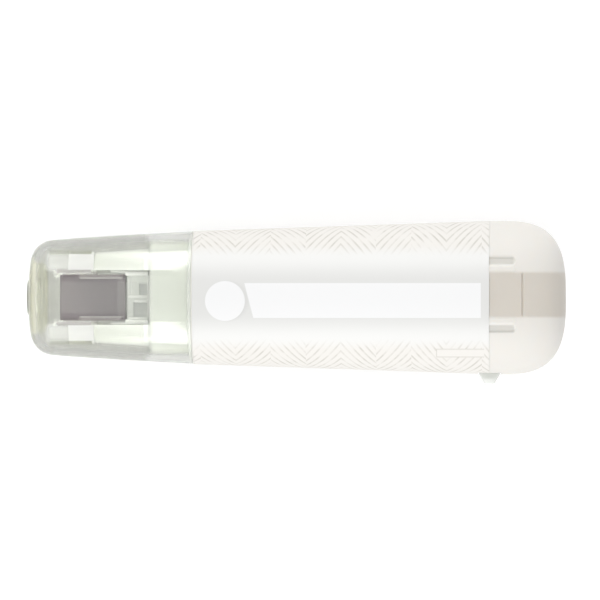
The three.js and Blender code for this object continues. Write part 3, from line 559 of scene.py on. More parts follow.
@dataclass(frozen=True)
class TipPlastic(Finish):
    """The tip's dark plastic, which is paler where its side walls are thin, with a painted highlight along
    their inner edges.
    """

    name: str = "grey tip"
    colour: Colour = (0.15, 0.12, 0.14)
    wall_colour: Colour = (0.32, 0.285, 0.30)
    # Painted highlight along the side walls' inner top edges.
    edge_highlight_colour: Colour = (0.50, 0.485, 0.485)
    cloud_size: float = 4.0
    cloud_shade: float = 0.93
    upper_side: Pair = (0.6, 0.8)
    wall_inner: float = 3.08
    wall_front: float = 8.0
    wall_rear: float = 15.3
    wall_soft: float = 0.04
    rear_stripe: float = 14.55
    rear_share: float = 0.4
    rear_soft: float = 0.2
    edge_front: float = 8.5
    edge_width: float = 0.2
    edge_offset: float = 0.1
    soft: float = 0.08
    grain_size: float = 0.12
    grain_depth: float = 0.003
    roughness: Pair = (0.3, 0.42)

    def inputs(self, sheet: Sheet) -> dict[str, object]:
        """Colours the walls and the stripe behind them, and paints a highlight along the walls' inner edges.

        Args:
            sheet: The material's nodes.

        Returns:
            The shader's inputs.
        """
        places = sheet.body_places()
        station, y, z = sheet.split(places)
        reach = sheet.away(y)
        upper = sheet.step(z, *self.upper_side)
        slanted = sheet.math("ADD", station, sheet.math("SUBTRACT", reach, self.wall_inner))
        wall = sheet.times(sheet.band(slanted, self.wall_front, self.wall_rear, self.soft),
                           sheet.rise(reach, self.wall_inner, self.wall_soft))
        rear = sheet.times(sheet.rise(station, self.rear_stripe, self.rear_soft), self.rear_share)
        # Painted highlight along the walls' inner edges, on the upper side.
        edge_inner = self.wall_inner - self.edge_offset
        edge = sheet.times(sheet.band(reach, edge_inner, edge_inner + self.edge_width, self.soft),
                           sheet.band(station, self.edge_front, self.wall_rear, self.soft), upper)
        colour = sheet.clouded(sheet.noise(places, self.cloud_size), self.colour, self.cloud_shade)
        colour = sheet.mix(sheet.times(sheet.largest(wall, rear), upper), colour, self.wall_colour)
        grain = sheet.noise(places, self.grain_size)
        return {
            "Base Color": sheet.mix(edge, colour, self.edge_highlight_colour),
            "Roughness": sheet.between(grain, *self.roughness),
            "Normal": sheet.bump(grain, self.grain_depth),
        }


@dataclass(frozen=True)
class LabelPrint(Finish):
    """The printed film: a pale grey ground, darker along the middle of the top as painted shade and paler on
    its flanks as painted light, with a white strip and disc, and a herringbone at the sides.
    """

    name: str = "label print"
    # Painted shade and painted light: the ground is darker along the middle of the top and paler on the
    # flanks.
    ground: Colour = (0.735, 0.735, 0.72)
    lit_flank_ground: Colour = (0.825, 0.825, 0.81)
    side_ground: Colour = (0.80, 0.78, 0.745)
    strip: Colour = (0.868, 0.87, 0.872)
    stroke: Colour = (0.55, 0.53, 0.48)
    shade: Colour = (0.56, 0.56, 0.55)
    upper_half: Pair = (0.0, 1.0)
    lower_half: Pair = (1.0, -1.0)
    flank: Pair = (2.4, 6.2)
    strip_low: float = -3.24
    strip_high: float = 2.29
    strip_front: float = 36.61
    strip_rear: float = 72.68
    strip_slant: float = 0.257
    disc_station: float = 32.11
    disc_y: float = -0.55
    disc_radius: float = 3.16
    shadow_shift: float = 0.55
    shadow_soft: float = 0.8
    shadow_share: float = 0.28
    hatch_side: Pair = (6.4, 8.6)
    hatch_cell: float = 5.6
    hatch_lean: float = 0.62
    mean_radius: float = 11.6
    stroke_pitch: float = 1.2
    stroke_width: float = 0.3
    stroke_fade: Pair = (1.8, 0.4)
    ink_size: float = 2.4
    ink_fade: Pair = (0.25, 0.7)
    ink_share: float = 0.8
    bar_front: float = 65.7
    bar_rear: float = 73.2
    bar_low: float = -9.38
    bar_high: float = -8.27
    bar_outline: float = 0.14
    outline_share: float = 0.8
    edge: float = 0.08
    roughness: Pair = (0.6, 0.68)
    gloss: float = 0.2
    wave_size: float = 9.0
    wave_depth: float = 0.02

    def disc(self, sheet: Sheet, station: Source, y: Source, shift: float, soft: float) -> Socket:
        """Gives 1 inside the disc, or inside its shadow.

        Args:
            sheet: The material's nodes.
            station: Station in millimetres.
            y: Place across the body in millimetres.
            shift: How far the shape stands behind the disc.
            soft: Width of its soft edge.

        Returns:
            The shape.
        """
        along = sheet.math("SUBTRACT", station, self.disc_station + shift)
        across = sheet.math("SUBTRACT", y, self.disc_y)
        return sheet.fall(sheet.distance(along, across), self.disc_radius, soft)

    def strokes(self, sheet: Sheet, station: Source, arc: Source) -> Socket:
        """Draws a herringbone of fine strokes that leans one way and the other from cell to cell.

        Args:
            sheet: The material's nodes.
            station: Station in millimetres.
            arc: Place round the body in millimetres.

        Returns:
            The strokes' darkness, from 0 to 1.
        """
        cell = sheet.math("FLOOR", sheet.math("DIVIDE", station, self.hatch_cell))
        side = sheet.math("MULTIPLY_ADD", sheet.math("MODULO", cell, 2.0), 2.0, -1.0)
        leaning = sheet.math("ADD", station, sheet.times(side, arc, self.hatch_lean))
        wave = sheet.math("PINGPONG", sheet.math("DIVIDE", leaning, self.stroke_pitch), 0.5)
        half = self.stroke_width / self.stroke_pitch / 2
        line = sheet.step(wave, *(half * share for share in self.stroke_fade))
        strength = sheet.noise(sheet.row_places(), self.ink_size, detail=2.0)
        return sheet.times(line, sheet.step(strength, *self.ink_fade))

    def bar(self, sheet: Sheet, station: Source, y: Source, wider: float) -> Socket:
        """Gives 1 inside the bare bar near the tail.

        Args:
            sheet: The material's nodes.
            station: Station in millimetres.
            y: Place across the body in millimetres.
            wider: What is added at its front and on both sides.

        Returns:
            The bar.
        """
        return sheet.times(sheet.band(station, self.bar_front - wider, self.bar_rear, self.edge),
                           sheet.band(y, self.bar_low - wider, self.bar_high + wider, self.edge))

    def white(self, sheet: Sheet, station: Source, y: Source) -> Socket:
        """Gives 1 inside the white strip, whose front end is slanted, and inside the disc.

        Args:
            sheet: The material's nodes.
            station: Station in millimetres.
            y: Place across the body in millimetres.

        Returns:
            The white shapes.
        """
        slant = sheet.times(sheet.math("SUBTRACT", y, self.strip_low), self.strip_slant)
        strip = sheet.times(sheet.rise(sheet.math("ADD", station, slant), self.strip_front, 2 * self.edge),
                            sheet.fall(station, self.strip_rear, 2 * self.edge),
                            sheet.band(y, self.strip_low, self.strip_high, self.edge))
        return sheet.largest(strip, self.disc(sheet, station, y, 0.0, self.edge))

    def inputs(self, sheet: Sheet) -> dict[str, object]:
        """Prints the ground with its painted shade and light, the herringbone, the bar's outline, the disc's
        shadow and the white shapes.

        Args:
            sheet: The material's nodes.

        Returns:
            The shader's inputs.
        """
        places = sheet.body_places()
        station, y, z = sheet.split(places)
        reach = sheet.away(y)
        top = sheet.step(z, *self.upper_half)
        arc = sheet.times(sheet.math("ARCTAN2", y, z), self.mean_radius)
        side = sheet.largest(sheet.step(reach, *self.hatch_side), sheet.step(z, *self.lower_half))
        bare = self.bar(sheet, station, y, 0.0)
        outline = sheet.math("SUBTRACT", self.bar(sheet, station, y, self.bar_outline), bare)
        hatch = sheet.times(self.strokes(sheet, station, arc), side, sheet.math("SUBTRACT", 1.0, bare))
        ink = sheet.largest(hatch, sheet.times(outline, self.outline_share, top))
        # Painted shade along the middle of the top, painted light on the flanks.
        ground = sheet.mix(sheet.step(reach, *self.flank), self.ground, self.lit_flank_ground)
        colour = sheet.mix(side, ground, self.side_ground)
        colour = sheet.mix(sheet.times(ink, self.ink_share), colour, self.stroke)
        shadow = self.disc(sheet, station, y, self.shadow_shift, self.shadow_soft)
        colour = sheet.mix(sheet.times(shadow, self.shadow_share, top), colour, self.shade)
        return {
            "Base Color": sheet.mix(sheet.times(self.white(sheet, station, y), top), colour, self.strip),
            "Roughness": sheet.between(ink, *self.roughness),
            "Specular IOR Level": self.gloss,
            "Normal": sheet.bump(sheet.noise(places, self.wave_size, detail=2.0), self.wave_depth),
        }


@dataclass(frozen=True)
class CoatedTape(Finish):
    """Chalky white coating, with faint lines along its length where the edges of the wound turns show."""

    name: str = "coated tape"
    colour: Colour = (0.90, 0.90, 0.88)
    gap: Colour = (0.62, 0.62, 0.60)
    reel_joint: str = "supply_reel_turn"
    turn_pitch: float = 0.3
    turn_edge: Pair = (0.12, 0.02)
    roll_radius: float = 9.3
    roll_soft: float = 0.1
    worn_size: float = 1.5
    chalk_size: float = 0.3
    chalk_depth: float = 0.01
    roughness: Pair = (0.6, 0.8)

    def inputs(self, sheet: Sheet) -> dict[str, object]:
        """Draws the wound turns round the reel's axle, and adds the chalk.

        Args:
            sheet: The material's nodes.

        Returns:
            The shader's inputs.
        """
        places = sheet.row_places()
        centre = next(j["pos_m"] for j in frame["joints"] if j["name"] == self.reel_joint)
        x, _, z = sheet.split(places)
        radius = sheet.distance(sheet.math("SUBTRACT", x, centre[0] / MM),
                                sheet.math("SUBTRACT", z, centre[2] / MM))
        turns = sheet.math("PINGPONG", sheet.math("DIVIDE", radius, self.turn_pitch), 0.5)
        worn = sheet.times(sheet.step(turns, *self.turn_edge),
                           sheet.noise(places, self.worn_size, detail=2.0),
                           sheet.step(radius, self.roll_radius + self.roll_soft, self.roll_radius))
        chalk = sheet.noise(places, self.chalk_size, detail=4.0)
        return {
            "Base Color": sheet.mix(worn, self.colour, self.gap),
            "Roughness": sheet.between(chalk, *self.roughness),
            "Normal": sheet.bump(chalk, self.chalk_depth),
        }


@dataclass(frozen=True)
class SpringSteel(Finish):
    """Drawn spring steel with fine lengthwise marks."""

    name: str = "spring steel"
    colour: Colour = (0.60, 0.60, 0.62)
    mark_size: float = 0.08
    mark_shade: float = 0.85
    mark_depth: float = 0.002
    roughness: Pair = (0.2, 0.38)

    def inputs(self, sheet: Sheet) -> dict[str, object]:
        """Marks the steel.

        Args:
            sheet: The material's nodes.

        Returns:
            The shader's inputs.
        """
        marks = sheet.noise(sheet.row_places(), self.mark_size)
        return {
            "Base Color": sheet.clouded(marks, self.colour, self.mark_shade),
            "Metallic": 1.0,
            "Roughness": sheet.between(marks, *self.roughness),
            "Normal": sheet.bump(marks, self.mark_depth),
        }


class Slot(Enum):
    """The record's material slots."""

    CAP = "clear_cap"
    FROSTED = "frosted_clear"
    BODY = "white_body"
    LABEL = "label_film"
    TAIL = "cream_tail"
    TIP = "grey_tip"
    CHASSIS = "chassis"
    GEARS = "reels_and_gears"
    TAPE = "coated_tape"
    FILM = "bare_film"
    STEEL = "spring_steel"


# Where a haze starts across the body if it covers the middle plane too.
WHOLE = -1.0
# Each haze's front, rear, inner and outer edge, soft edge and share, and its colour where it has its own.
CAP_HAZES_AND_PAINTED_LIGHT = (
    Haze(7.0, 11.1, 4.4, 6.9, 0.12, 0.57),
    Haze(3.6, 7.4, 4.4, 6.9, 1.4, 0.42),
    Haze(19.4, 27.2, 9.0, 13.0, 1.2, 0.34),
    Haze(26.1, 27.2, WHOLE, 13.0, 0.4, 0.4, (0.93, 0.945, 0.91)),
    # Painted highlight: a yellowish light band in the nose's corner.
    Haze(0.9, 2.0, WHOLE, 5.8, 0.9, 0.36, (0.99, 0.985, 0.80)),
    # Painted shade: a dark band along the ribs' inner edges, beside the tip.
    Haze(5.2, 10.7, 3.86, 4.36, 0.16, 0.4, (0.62, 0.60, 0.595)),
    Haze(-0.5, 0.5, WHOLE, 3.5, 0.3, 0.25),
)
# Painted light: a paler colour on the sides of the collar and the cheeks, where the side light falls.
PAINTED_SIDE_LIGHT = (0.82, 0.84, 0.79)
FROSTED_PAINTED_SIDE_LIGHT = (
    Haze(19.0, 32.0, 7.5, 14.0, 1.6, 0.0, PAINTED_SIDE_LIGHT),
    Haze(9.0, 19.9, 6.3, 8.5, 1.0, 0.0, PAINTED_SIDE_LIGHT),
)
FINISHES: dict[Slot, Finish] = {
    Slot.CAP: ClearPlastic("clear cap", (0.992, 0.997, 0.988), clearness=0.995, roughness=0.08,
                           ripple_depth=0.005, depth_colour=(0.64, 0.66, 0.50), depth_density=110.0,
                           hazes=CAP_HAZES_AND_PAINTED_LIGHT),
    Slot.FROSTED: ClearPlastic("frosted clear", (0.61, 0.63, 0.59), clearness=0.05, roughness=0.14,
                               gloss=0.38, milk=1.0, milk_depth=1.5, hazes=FROSTED_PAINTED_SIDE_LIGHT),
    Slot.BODY: MouldedPlastic("white body", (0.86, 0.85, 0.81), roughness=0.4),
    Slot.LABEL: LabelPrint(),
    # The tail's colour here is its middle band's, darkened as painted shade; its sides take a paler colour.
    Slot.TAIL: TailPlastic("cream tail", (0.655, 0.615, 0.555), roughness=0.52, gloss=0.25, milk=0.4),
    Slot.TIP: TipPlastic(),
    Slot.CHASSIS: MouldedPlastic("chassis", (0.80, 0.81, 0.78), roughness=0.45),
    Slot.GEARS: MouldedPlastic("acetal", (0.80, 0.81, 0.79), roughness=0.32, milk=0.2),
    Slot.TAPE: CoatedTape(),
    Slot.FILM: ThinFilm(),
    Slot.STEEL: SpringSteel(),
}
THIN_FROSTED = replace(FINISHES[Slot.FROSTED], name="thin frosted clear", colour=(0.665, 0.68, 0.645))
HOLDER_FINISH = HolderPlastic()
WOUND_FILM = CoatedTape("wound film", (0.80, 0.81, 0.79), (0.60, 0.60, 0.58), "take_up_turn")


def wear(owner: bpy.types.Object, finish: Finish) -> None:
    """Gives an object one finish and no other."""
    owner.data.materials.clear()
    owner.data.materials.append(finish.material())


def dress(piece: bpy.types.Object, slot: Slot, body: str, *nodes: str, finish: Finish | None = None) -> None:
    """Finishes a piece, lets it ride and says which CAD nodes it stands for.

    Args:
        piece: The piece.
        slot: Its material slot.
        body: The CAD body that it moves with.
        nodes: The CAD nodes that it replaces.
        finish: A finish other than the slot's usual one.
    """
    wear(piece, finish or FINISHES[slot])
    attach(piece, body)
    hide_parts(*nodes)
    LOG.info("%s: %d faces in place of %s", piece.name, len(piece.data.polygons), ", ".join(nodes))


def dress_node(name: str, slot: Slot, finish: Finish | None = None) -> None:
    """Finishes a CAD node whose shape is right as it is, with the slot's usual finish or another."""
    wear(frame["nodes"][name], finish or FINISHES[slot])
    LOG.info("%s: CAD node kept, finished as %s", name, slot.value)


def rounded(corners: Sequence[Triple], steps: int = 6) -> list[Pair]:
    """Rounds the corners of a closed outline.

    Args:
        corners: (station, radius, size of the round) in order round the outline.
        steps: Pieces in each round corner.

    Returns:
        The outline's points.
    """
    points = []
    for i, (station, radius, size) in enumerate(corners):
        if not size:
            points.append((station, radius))
            continue
        corner = np.array((station, radius))
        before = np.array(corners[i - 1][:2]) - corner
        after = np.array(corners[(i + 1) % len(corners)][:2]) - corner
        before /= np.linalg.norm(before)
        after /= np.linalg.norm(after)
        half = math.acos(float(before @ after)) / 2
        middle = (before + after) / np.linalg.norm(before + after)
        centre = corner + middle * size / math.sin(half)
        start = corner + before * size / math.tan(half) - centre
        side = 1 if before[0] * after[1] - before[1] * after[0] < 0 else -1
        for k in range(steps + 1):
            turn = side * (math.pi - 2 * half) * k / steps
            cosine, sine = math.cos(turn), math.sin(turn)
            spun = np.array((start[0] * cosine - start[1] * sine, start[0] * sine + start[1] * cosine))
            points.append(tuple(centre + spun))
    return points


def tidy(piece: bpy.types.Object, sharp: float = SHARP_ANGLE) -> None:
    """Welds a piece's corners, turns its faces out and shades it.

    Args:
        piece: The piece.
        sharp: Angle in degrees above which an edge is shaded sharp.
    """
    edit = bmesh.new()
    edit.from_mesh(piece.data)
    bmesh.ops.remove_doubles(edit, verts=edit.verts, dist=WELD)
    bmesh.ops.dissolve_degenerate(edit, edges=edit.edges, dist=SLIVER)
    bmesh.ops.recalc_face_normals(edit, faces=edit.faces)
    edit.to_mesh(piece.data)
    edit.free()
    piece.data.shade_smooth()
    piece.data.set_sharp_from_angle(angle=math.radians(sharp))


def make_piece(name: str, points: Sequence[Sequence[float]], faces: Sequence[Sequence[int]],
               sharp: float = SHARP_ANGLE) -> bpy.types.Object:
    """Makes a closed piece.

    Args:
        name: The piece's name.
        points: Its corners in the row frame, in metres.
        faces: Corners of each face.
        sharp: Angle in degrees above which an edge is shaded sharp.

    Returns:
        The piece.
    """
    mesh = bpy.data.meshes.new(name)
    mesh.from_pydata(np.asarray(points).tolist(), [], faces)
    piece = bpy.data.objects.new(name, mesh)
    bpy.context.scene.collection.objects.link(piece)
    tidy(piece, sharp)
    return piece


def copy_node(node: str, name: str) -> bpy.types.Object:
    """Starts a piece of that name from a CAD node's faces."""
    mesh = frame["nodes"][node].data
    return make_piece(name, [v.co[:] for v in mesh.vertices], [p.vertices[:] for p in mesh.polygons])


def make_box(low: Sequence[float], high: Sequence[float]) -> bpy.types.Object:
    """Makes a plain box, for cutting or joining.

    Args:
        low: Lowest corner as a body place.
        high: Highest corner as a body place.

    Returns:
        The box.
    """
    corners = np.array([[(low, high)[k >> axis & 1][axis] for axis in range(3)] for k in range(8)], float)
    faces = [(0, 2, 3, 1), (4, 5, 7, 6), (0, 1, 5, 4), (2, 6, 7, 3), (0, 4, 6, 2), (1, 3, 7, 5)]
    return make_piece("box", AXIS.to_row(corners), faces)


@dataclass(frozen=True)
class Corners:
    """The corners of a turned shell: their stations, their angles from the top and their radii."""

    stations: np.ndarray
    turns: np.ndarray
    radii: np.ndarray


def round_angles(steps: int = ROUND_STEPS) -> np.ndarray:
    """Gives even angles all the way round, from the top towards high y."""
    return np.linspace(0, 2 * math.pi, steps, endpoint=False)


def revolve(name: str, outline: Sequence[Pair], angles: np.ndarray, whole: bool = True,
            relief: Callable[[Corners], np.ndarray] | None = None) -> bpy.types.Object:
    """Turns a closed outline about the axis.

    Args:
        name: The piece's name.
        outline: (station, radius) points.
        angles: Angles of the turn's steps, from the top towards high y.
        whole: Whether the last step joins the first. Otherwise both ends are closed by a face.
        relief: Gives what is added to the radius of each corner.

    Returns:
        The piece.
    """
    points = np.array(outline)
    stations, turns = np.meshgrid(points[:, 0], angles, indexing="ij")
    radii = np.repeat(points[:, 1:], len(angles), axis=1)
    if relief:
        radii = radii + relief(Corners(stations, turns, radii))
    places = np.stack((stations, radii * np.sin(turns), radii * np.cos(turns)), axis=-1).reshape(-1, 3)
    rows, columns = len(points), len(angles)
    faces = []
    for i in range(rows):
        row, below = i * columns, (i + 1) % rows * columns
        for j in range(columns if whole else columns - 1):
            beside = (j + 1) % columns
            faces.append((row + j, row + beside, below + beside, below + j))
    if not whole:
        faces.append([i * columns for i in range(rows)])
        faces.append([i * columns + columns - 1 for i in reversed(range(rows))])
    return make_piece(name, AXIS.to_row(places), faces)


def sweep(name: str, path: np.ndarray, radius: float, sides: int = 10, sharp: float = 60) -> bpy.types.Object:
    """Draws a round wire along a path.

    Args:
        name: The piece's name.
        path: Body places along the middle of the wire.
        radius: Radius of the wire.
        sides: Sides of its section.
        sharp: Angle in degrees above which an edge is shaded sharp.

    Returns:
        The piece, with closed ends.
    """
    ways = np.gradient(path, axis=0)
    ways /= np.linalg.norm(ways, axis=1, keepdims=True)
    side = np.cross(ways, (0.0, 1.0, 0.0))
    side /= np.linalg.norm(side, axis=1, keepdims=True)
    other = np.cross(ways, side)
    turns = np.linspace(0, 2 * math.pi, sides, endpoint=False)[:, None]
    rings = path[:, None] + radius * (np.cos(turns) * side[:, None] + np.sin(turns) * other[:, None])
    last = (len(path) - 1) * sides
    faces = []
    for ring in range(0, last, sides):
        for k in range(sides):
            beside = (k + 1) % sides
            faces.append((ring + k, ring + beside, ring + sides + beside, ring + sides + k))
    faces += [range(sides), range(last, last + sides)]
    return make_piece(name, AXIS.to_row(rings.reshape(-1, 3)), faces, sharp)


def settle(piece: bpy.types.Object) -> None:
    """Applies a piece's modifiers.

    Args:
        piece: The piece.
    """
    bpy.context.view_layer.update()
    made = bpy.data.meshes.new_from_object(piece.evaluated_get(bpy.context.evaluated_depsgraph_get()))
    made.name = piece.name
    piece.modifiers.clear()
    piece.data = made


def combine(piece: bpy.types.Object, others: Sequence[bpy.types.Object], operation: str,
            sharp: float = SHARP_ANGLE) -> None:
    """Joins other closed meshes to a piece or cuts them out of it, and removes them.

    Args:
        piece: The piece.
        others: What is joined or cut out.
        operation: UNION, DIFFERENCE or INTERSECT.
        sharp: Angle in degrees above which an edge is shaded sharp.
    """
    for other in others:
        modifier = piece.modifiers.new(operation.lower(), "BOOLEAN")
        modifier.operation = operation
        modifier.solver = "EXACT"
        modifier.object = other
    settle(piece)
    for other in others:
        bpy.data.objects.remove(other)
    tidy(piece, sharp)


def ease(piece: bpy.types.Object, width: float, segments: int = 3, angle: float = 30) -> None:
    """Rounds a piece's edges.

    Args:
        piece: The piece.
        width: Width of the round in millimetres.
        segments: Pieces in each round.
        angle: Angle in degrees above which an edge is rounded.
    """
    edit = bmesh.new()
    edit.from_mesh(piece.data)
    flat = math.radians(FLAT_ANGLE)
    bmesh.ops.dissolve_limit(edit, angle_limit=flat, verts=edit.verts, edges=edit.edges)
    edit.to_mesh(piece.data)
    edit.free()
    modifier = piece.modifiers.new("ease", "BEVEL")
    modifier.width = width * MM
    modifier.segments = segments
    modifier.limit_method = "ANGLE"
    modifier.angle_limit = math.radians(angle)
    modifier.use_clamp_overlap = True
    settle(piece)
    tidy(piece, EASED_SHARP_ANGLE)


@dataclass
class ClearCap:
    """The clear pull-off cap: a round shell with a raised pad on its nose and guide ribs beside the tip."""

    pad_radius: float = 3.2
    pad_height: float = 0.56
    pad_front_round: float = 0.5
    pad_rear_round: float = 0.3
    face_radius: float = 5.7
    corner_length: float = 3.75
    corner_height: float = 3.54
    rim_station: float = 26.63
    rim_radius: float = 10.62
    rim_round: float = 0.08
    lip: float = 0.3
    bulge: float = 0.85
    wall: float = 1.15
    skirt_front: float = 19.1
    bore: float = 9.2
    rib_front: float = 3.9
    rib_rear: float = 10.65
    rib_inner: float = 4.72
    rib_outer: float = 7.0
    rib_level: float = 3.0
    rib_reach: float = 8.6
    rib_ends_front: float = 8.35
    rib_ends_rear: float = 9.05
    rib_spare: float = 0.5
    corner_steps: int = 20
    side_steps: int = 12

    def corner(self, inset: float) -> list[Pair]:
        """Gives the round corner's outline.

        Args:
            inset: How far it is set in from the outside: a wall or nothing.

        Returns:
            The points, from the nose to the side.
        """
        turns = np.linspace(0, math.pi / 2, self.corner_steps)
        front = self.pad_height + inset
        length = self.corner_length - inset
        height = self.corner_height - inset
        return [(front + length * (1 - math.cos(t)), self.face_radius + height * math.sin(t)) for t in turns]

    def side(self, rear: float, inset: float) -> list[Pair]:
        """Gives the nearly straight side's outline.

        Args:
            rear: The station where it ends.
            inset: How far it is set in from the outside: a wall or nothing.

        Returns:
            The points, from the corner back, without the corner's own.
        """
        start = self.pad_height + self.corner_length
        length = self.rim_station - start
        shoulder = self.face_radius + self.corner_height
        draft = self.rim_radius - shoulder
        shares = np.linspace(0, 1, self.side_steps + 1)[1:] * (rear - start) / length
        return [(start + length * t, shoulder - inset + draft * t ** self.bulge) for t in shares]

    def build(self) -> bpy.types.Object:
        """Builds the shell with its ribs.

        Returns:
            The cap.
        """
        pad = rounded([
            (0.0, 0.0, 0.0),
            (0.0, self.pad_radius - self.pad_front_round, self.pad_front_round),
            (self.pad_height, self.pad_radius, self.pad_rear_round),
            (self.pad_height, self.face_radius, 0.0),
        ])[:-1]
        outside = [*pad, *self.corner(0.0), *self.side(self.rim_station - self.lip, 0.0)]
        rim = rounded([
            outside[-1] + (0.0,),
            (self.rim_station, self.rim_radius, self.rim_round),
            (self.rim_station, self.bore, self.rim_round),
            (self.skirt_front, self.bore, 0.0),
        ])[1:-1]
        inside = [*reversed(self.side(self.skirt_front, self.wall)), *reversed(self.corner(self.wall))]
        outline = [*outside, *rim, (self.skirt_front, self.bore), *inside, (self.pad_height + self.wall, 0.0)]
        cap = revolve("clear_cap", outline, round_angles())
        combine(cap, self.ribs(), "UNION")
        return cap

    def ribs(self) -> list[bpy.types.Object]:
        """Builds the four guide ribs, which end inside the wall.

        Returns:
            The ribs.
        """
        front, rear = self.rib_front - self.rib_spare, self.rib_rear + self.rib_spare
        envelope = [(front, 0.0), (front, self.rib_ends_front), (rear, self.rib_ends_rear), (rear, 0.0)]
        ribs = []
        for side in (-1, 1):
            low, high = sorted((side * self.rib_inner, side * self.rib_outer))
            for bottom, top in ((self.rib_level, self.rib_reach), (-self.rib_reach, -self.rib_level)):
                rib = make_box((self.rib_front, low, bottom), (self.rib_rear, high, top))
                combine(rib, [revolve("envelope", envelope, round_angles())], "INTERSECT")
                ribs.append(rib)
        return ribs

    def assemble(self) -> None:
        """Builds and dresses the cap."""
        dress(self.build(), Slot.CAP, "cap", "cap")


@dataclass(frozen=True)
class Rib:
    """A thin rib's place, along the body and across it."""

    front: float
    rear: float
    low: float
    high: float


@dataclass
class Holder:
    """The block that holds the tip: thin ribs beside its blind pockets, and raised shoulders at its sides."""

    ribs: tuple[Rib, ...] = (
        Rib(16.2, 19.48, -0.04, 0.37),
        Rib(17.22, 19.48, -0.8, -0.42),
        Rib(16.3, 16.44, 0.5, 2.9),
        Rib(16.72, 16.84, 0.5, 2.6),
        Rib(19.52, 19.74, -3.1, 3.1),
        Rib(16.3, 19.46, -3.4, -3.16),
    )
    rib_foot: float = 1.0
    rib_rise: float = 0.24
    top: float = 1.5
    shoulder_front: float = 15.95
    shoulder_inner: float = 3.44
    edge_front: float = 13.6
    edge_inner: float = 3.92
    shoulder_outer: float = 4.16
    shoulder_rear: float = 19.7
    shoulder_top: float = 4.3
    web: Rib = Rib(16.6, 19.9, -3.25, 2.6)
    web_foot: float = -0.5
    pocket_depth: float = 0.7
    block_round: float = 0.05
    rib_round: float = 0.04

    def bars(self) -> list[bpy.types.Object]:
        """Builds the ribs and the two steps of each shoulder, with their edges rounded.

        Returns:
            The bars, which overlap the block.
        """
        top = self.top + self.rib_rise
        bars = [make_box((rib.front, rib.low, self.rib_foot), (rib.rear, rib.high, top)) for rib in self.ribs]
        steps = ((self.shoulder_front, self.shoulder_inner), (self.edge_front, self.edge_inner))
        for side in (-1, 1):
            for front, inner in steps:
                low, high = sorted((side * inner, side * self.shoulder_outer))
                corner = (self.shoulder_rear, high, self.shoulder_top)
                bars.append(make_box((front, low, self.rib_foot), corner))
        for bar in bars:
            ease(bar, self.rib_round)
        return bars

    def build(self) -> bpy.types.Object:
        """Builds the holder, whose pockets end at a web.

        Returns:
            The holder.
        """
        holder = copy_node("tip_holder", "tip_holder_block")
        ease(holder, self.block_round)
        web = make_box((self.web.front, self.web.low, self.web_foot),
                       (self.web.rear, self.web.high, self.top - self.pocket_depth))
        combine(holder, [*self.bars(), web], "UNION", EASED_SHARP_ANGLE)
        return holder


@dataclass
class Nose:
    """The collar, the frame with its cheeks, the tip and its holder, and the two strips of tape."""

    holder: Holder
    collar_front: float = 19.8
    collar_rear: float = 31.3
    collar_radius: float = 9.04
    collar_bore: float = 8.0
    collar_corner: float = 0.98
    collar_edge: float = 0.03
    collar_rear_round: float = 0.15
    corner_steps: int = 10
    notch_depth: float = 0.38
    cheek_front: float = 10.85
    cheek_radius: float = 7.2
    cheek_inner_round: float = 0.3
    cheek_outer_round: float = 0.45
    ring_front: float = 20.0
    ring_rear: float = 26.0
    ring_radius: float = 7.85
    ring_round: float = 0.2
    wall: float = 0.95
    window: float = 4.2
    tip_round: float = 0.1

    def collar(self) -> bpy.types.Object:
        """Builds the collar that the cap pushes on to, with a notch over the holder.

        Returns:
            The collar.
        """
        outline = rounded([
            (self.collar_front, self.collar_bore, self.collar_edge),
            (self.collar_front, self.collar_radius, self.collar_corner),
            (self.collar_rear, self.collar_radius, self.collar_rear_round),
            (self.collar_rear, self.collar_bore, self.collar_rear_round),
        ], self.corner_steps)
        collar = revolve("front_collar_shell", outline, round_angles())
        notch = make_box((self.collar_front - SPARE, -self.window, 0),
                         (self.collar_front + self.notch_depth, self.window, self.collar_radius + SPARE))
        combine(collar, [notch], "DIFFERENCE")
        return collar

    def frame_shell(self) -> bpy.types.Object:
        """Builds the ring with a cheek on each side of the tip.

        Returns:
            The frame.
        """
        outline = rounded([
            (self.cheek_front, self.cheek_radius - self.wall, self.cheek_inner_round),
            (self.cheek_front, self.cheek_radius, self.cheek_outer_round),
            (self.ring_front, self.ring_radius, 0.0),
            (self.ring_rear, self.ring_radius, self.ring_round),
            (self.ring_rear, self.ring_radius - self.wall, self.ring_round),
            (self.ring_front, self.ring_radius - self.wall, 0.0),
        ])
        shell = revolve("nose_frame_shell", outline, round_angles())
        reach = self.ring_radius + SPARE
        corner = (self.cheek_front - SPARE, -self.window, -reach)
        window = make_box(corner, (self.ring_front, self.window, reach))
        combine(shell, [window], "DIFFERENCE")
        return shell

    def assemble(self) -> None:
        """Builds and dresses the nose's pieces."""
        dress(self.collar(), Slot.FROSTED, "body", "front_collar")
        dress(self.frame_shell(), Slot.FROSTED, "body", "nose_frame", finish=THIN_FROSTED)
        tip = copy_node("applicator_tip", "wedge_tip")
        ease(tip, self.tip_round)
        dress(tip, Slot.TIP, "body", "applicator_tip")
        dress(self.holder.build(), Slot.FROSTED, "body", "tip_holder", finish=HOLDER_FINISH)
        dress_node("feed_tape", Slot.TAPE)
        dress_node("return_film", Slot.FILM)


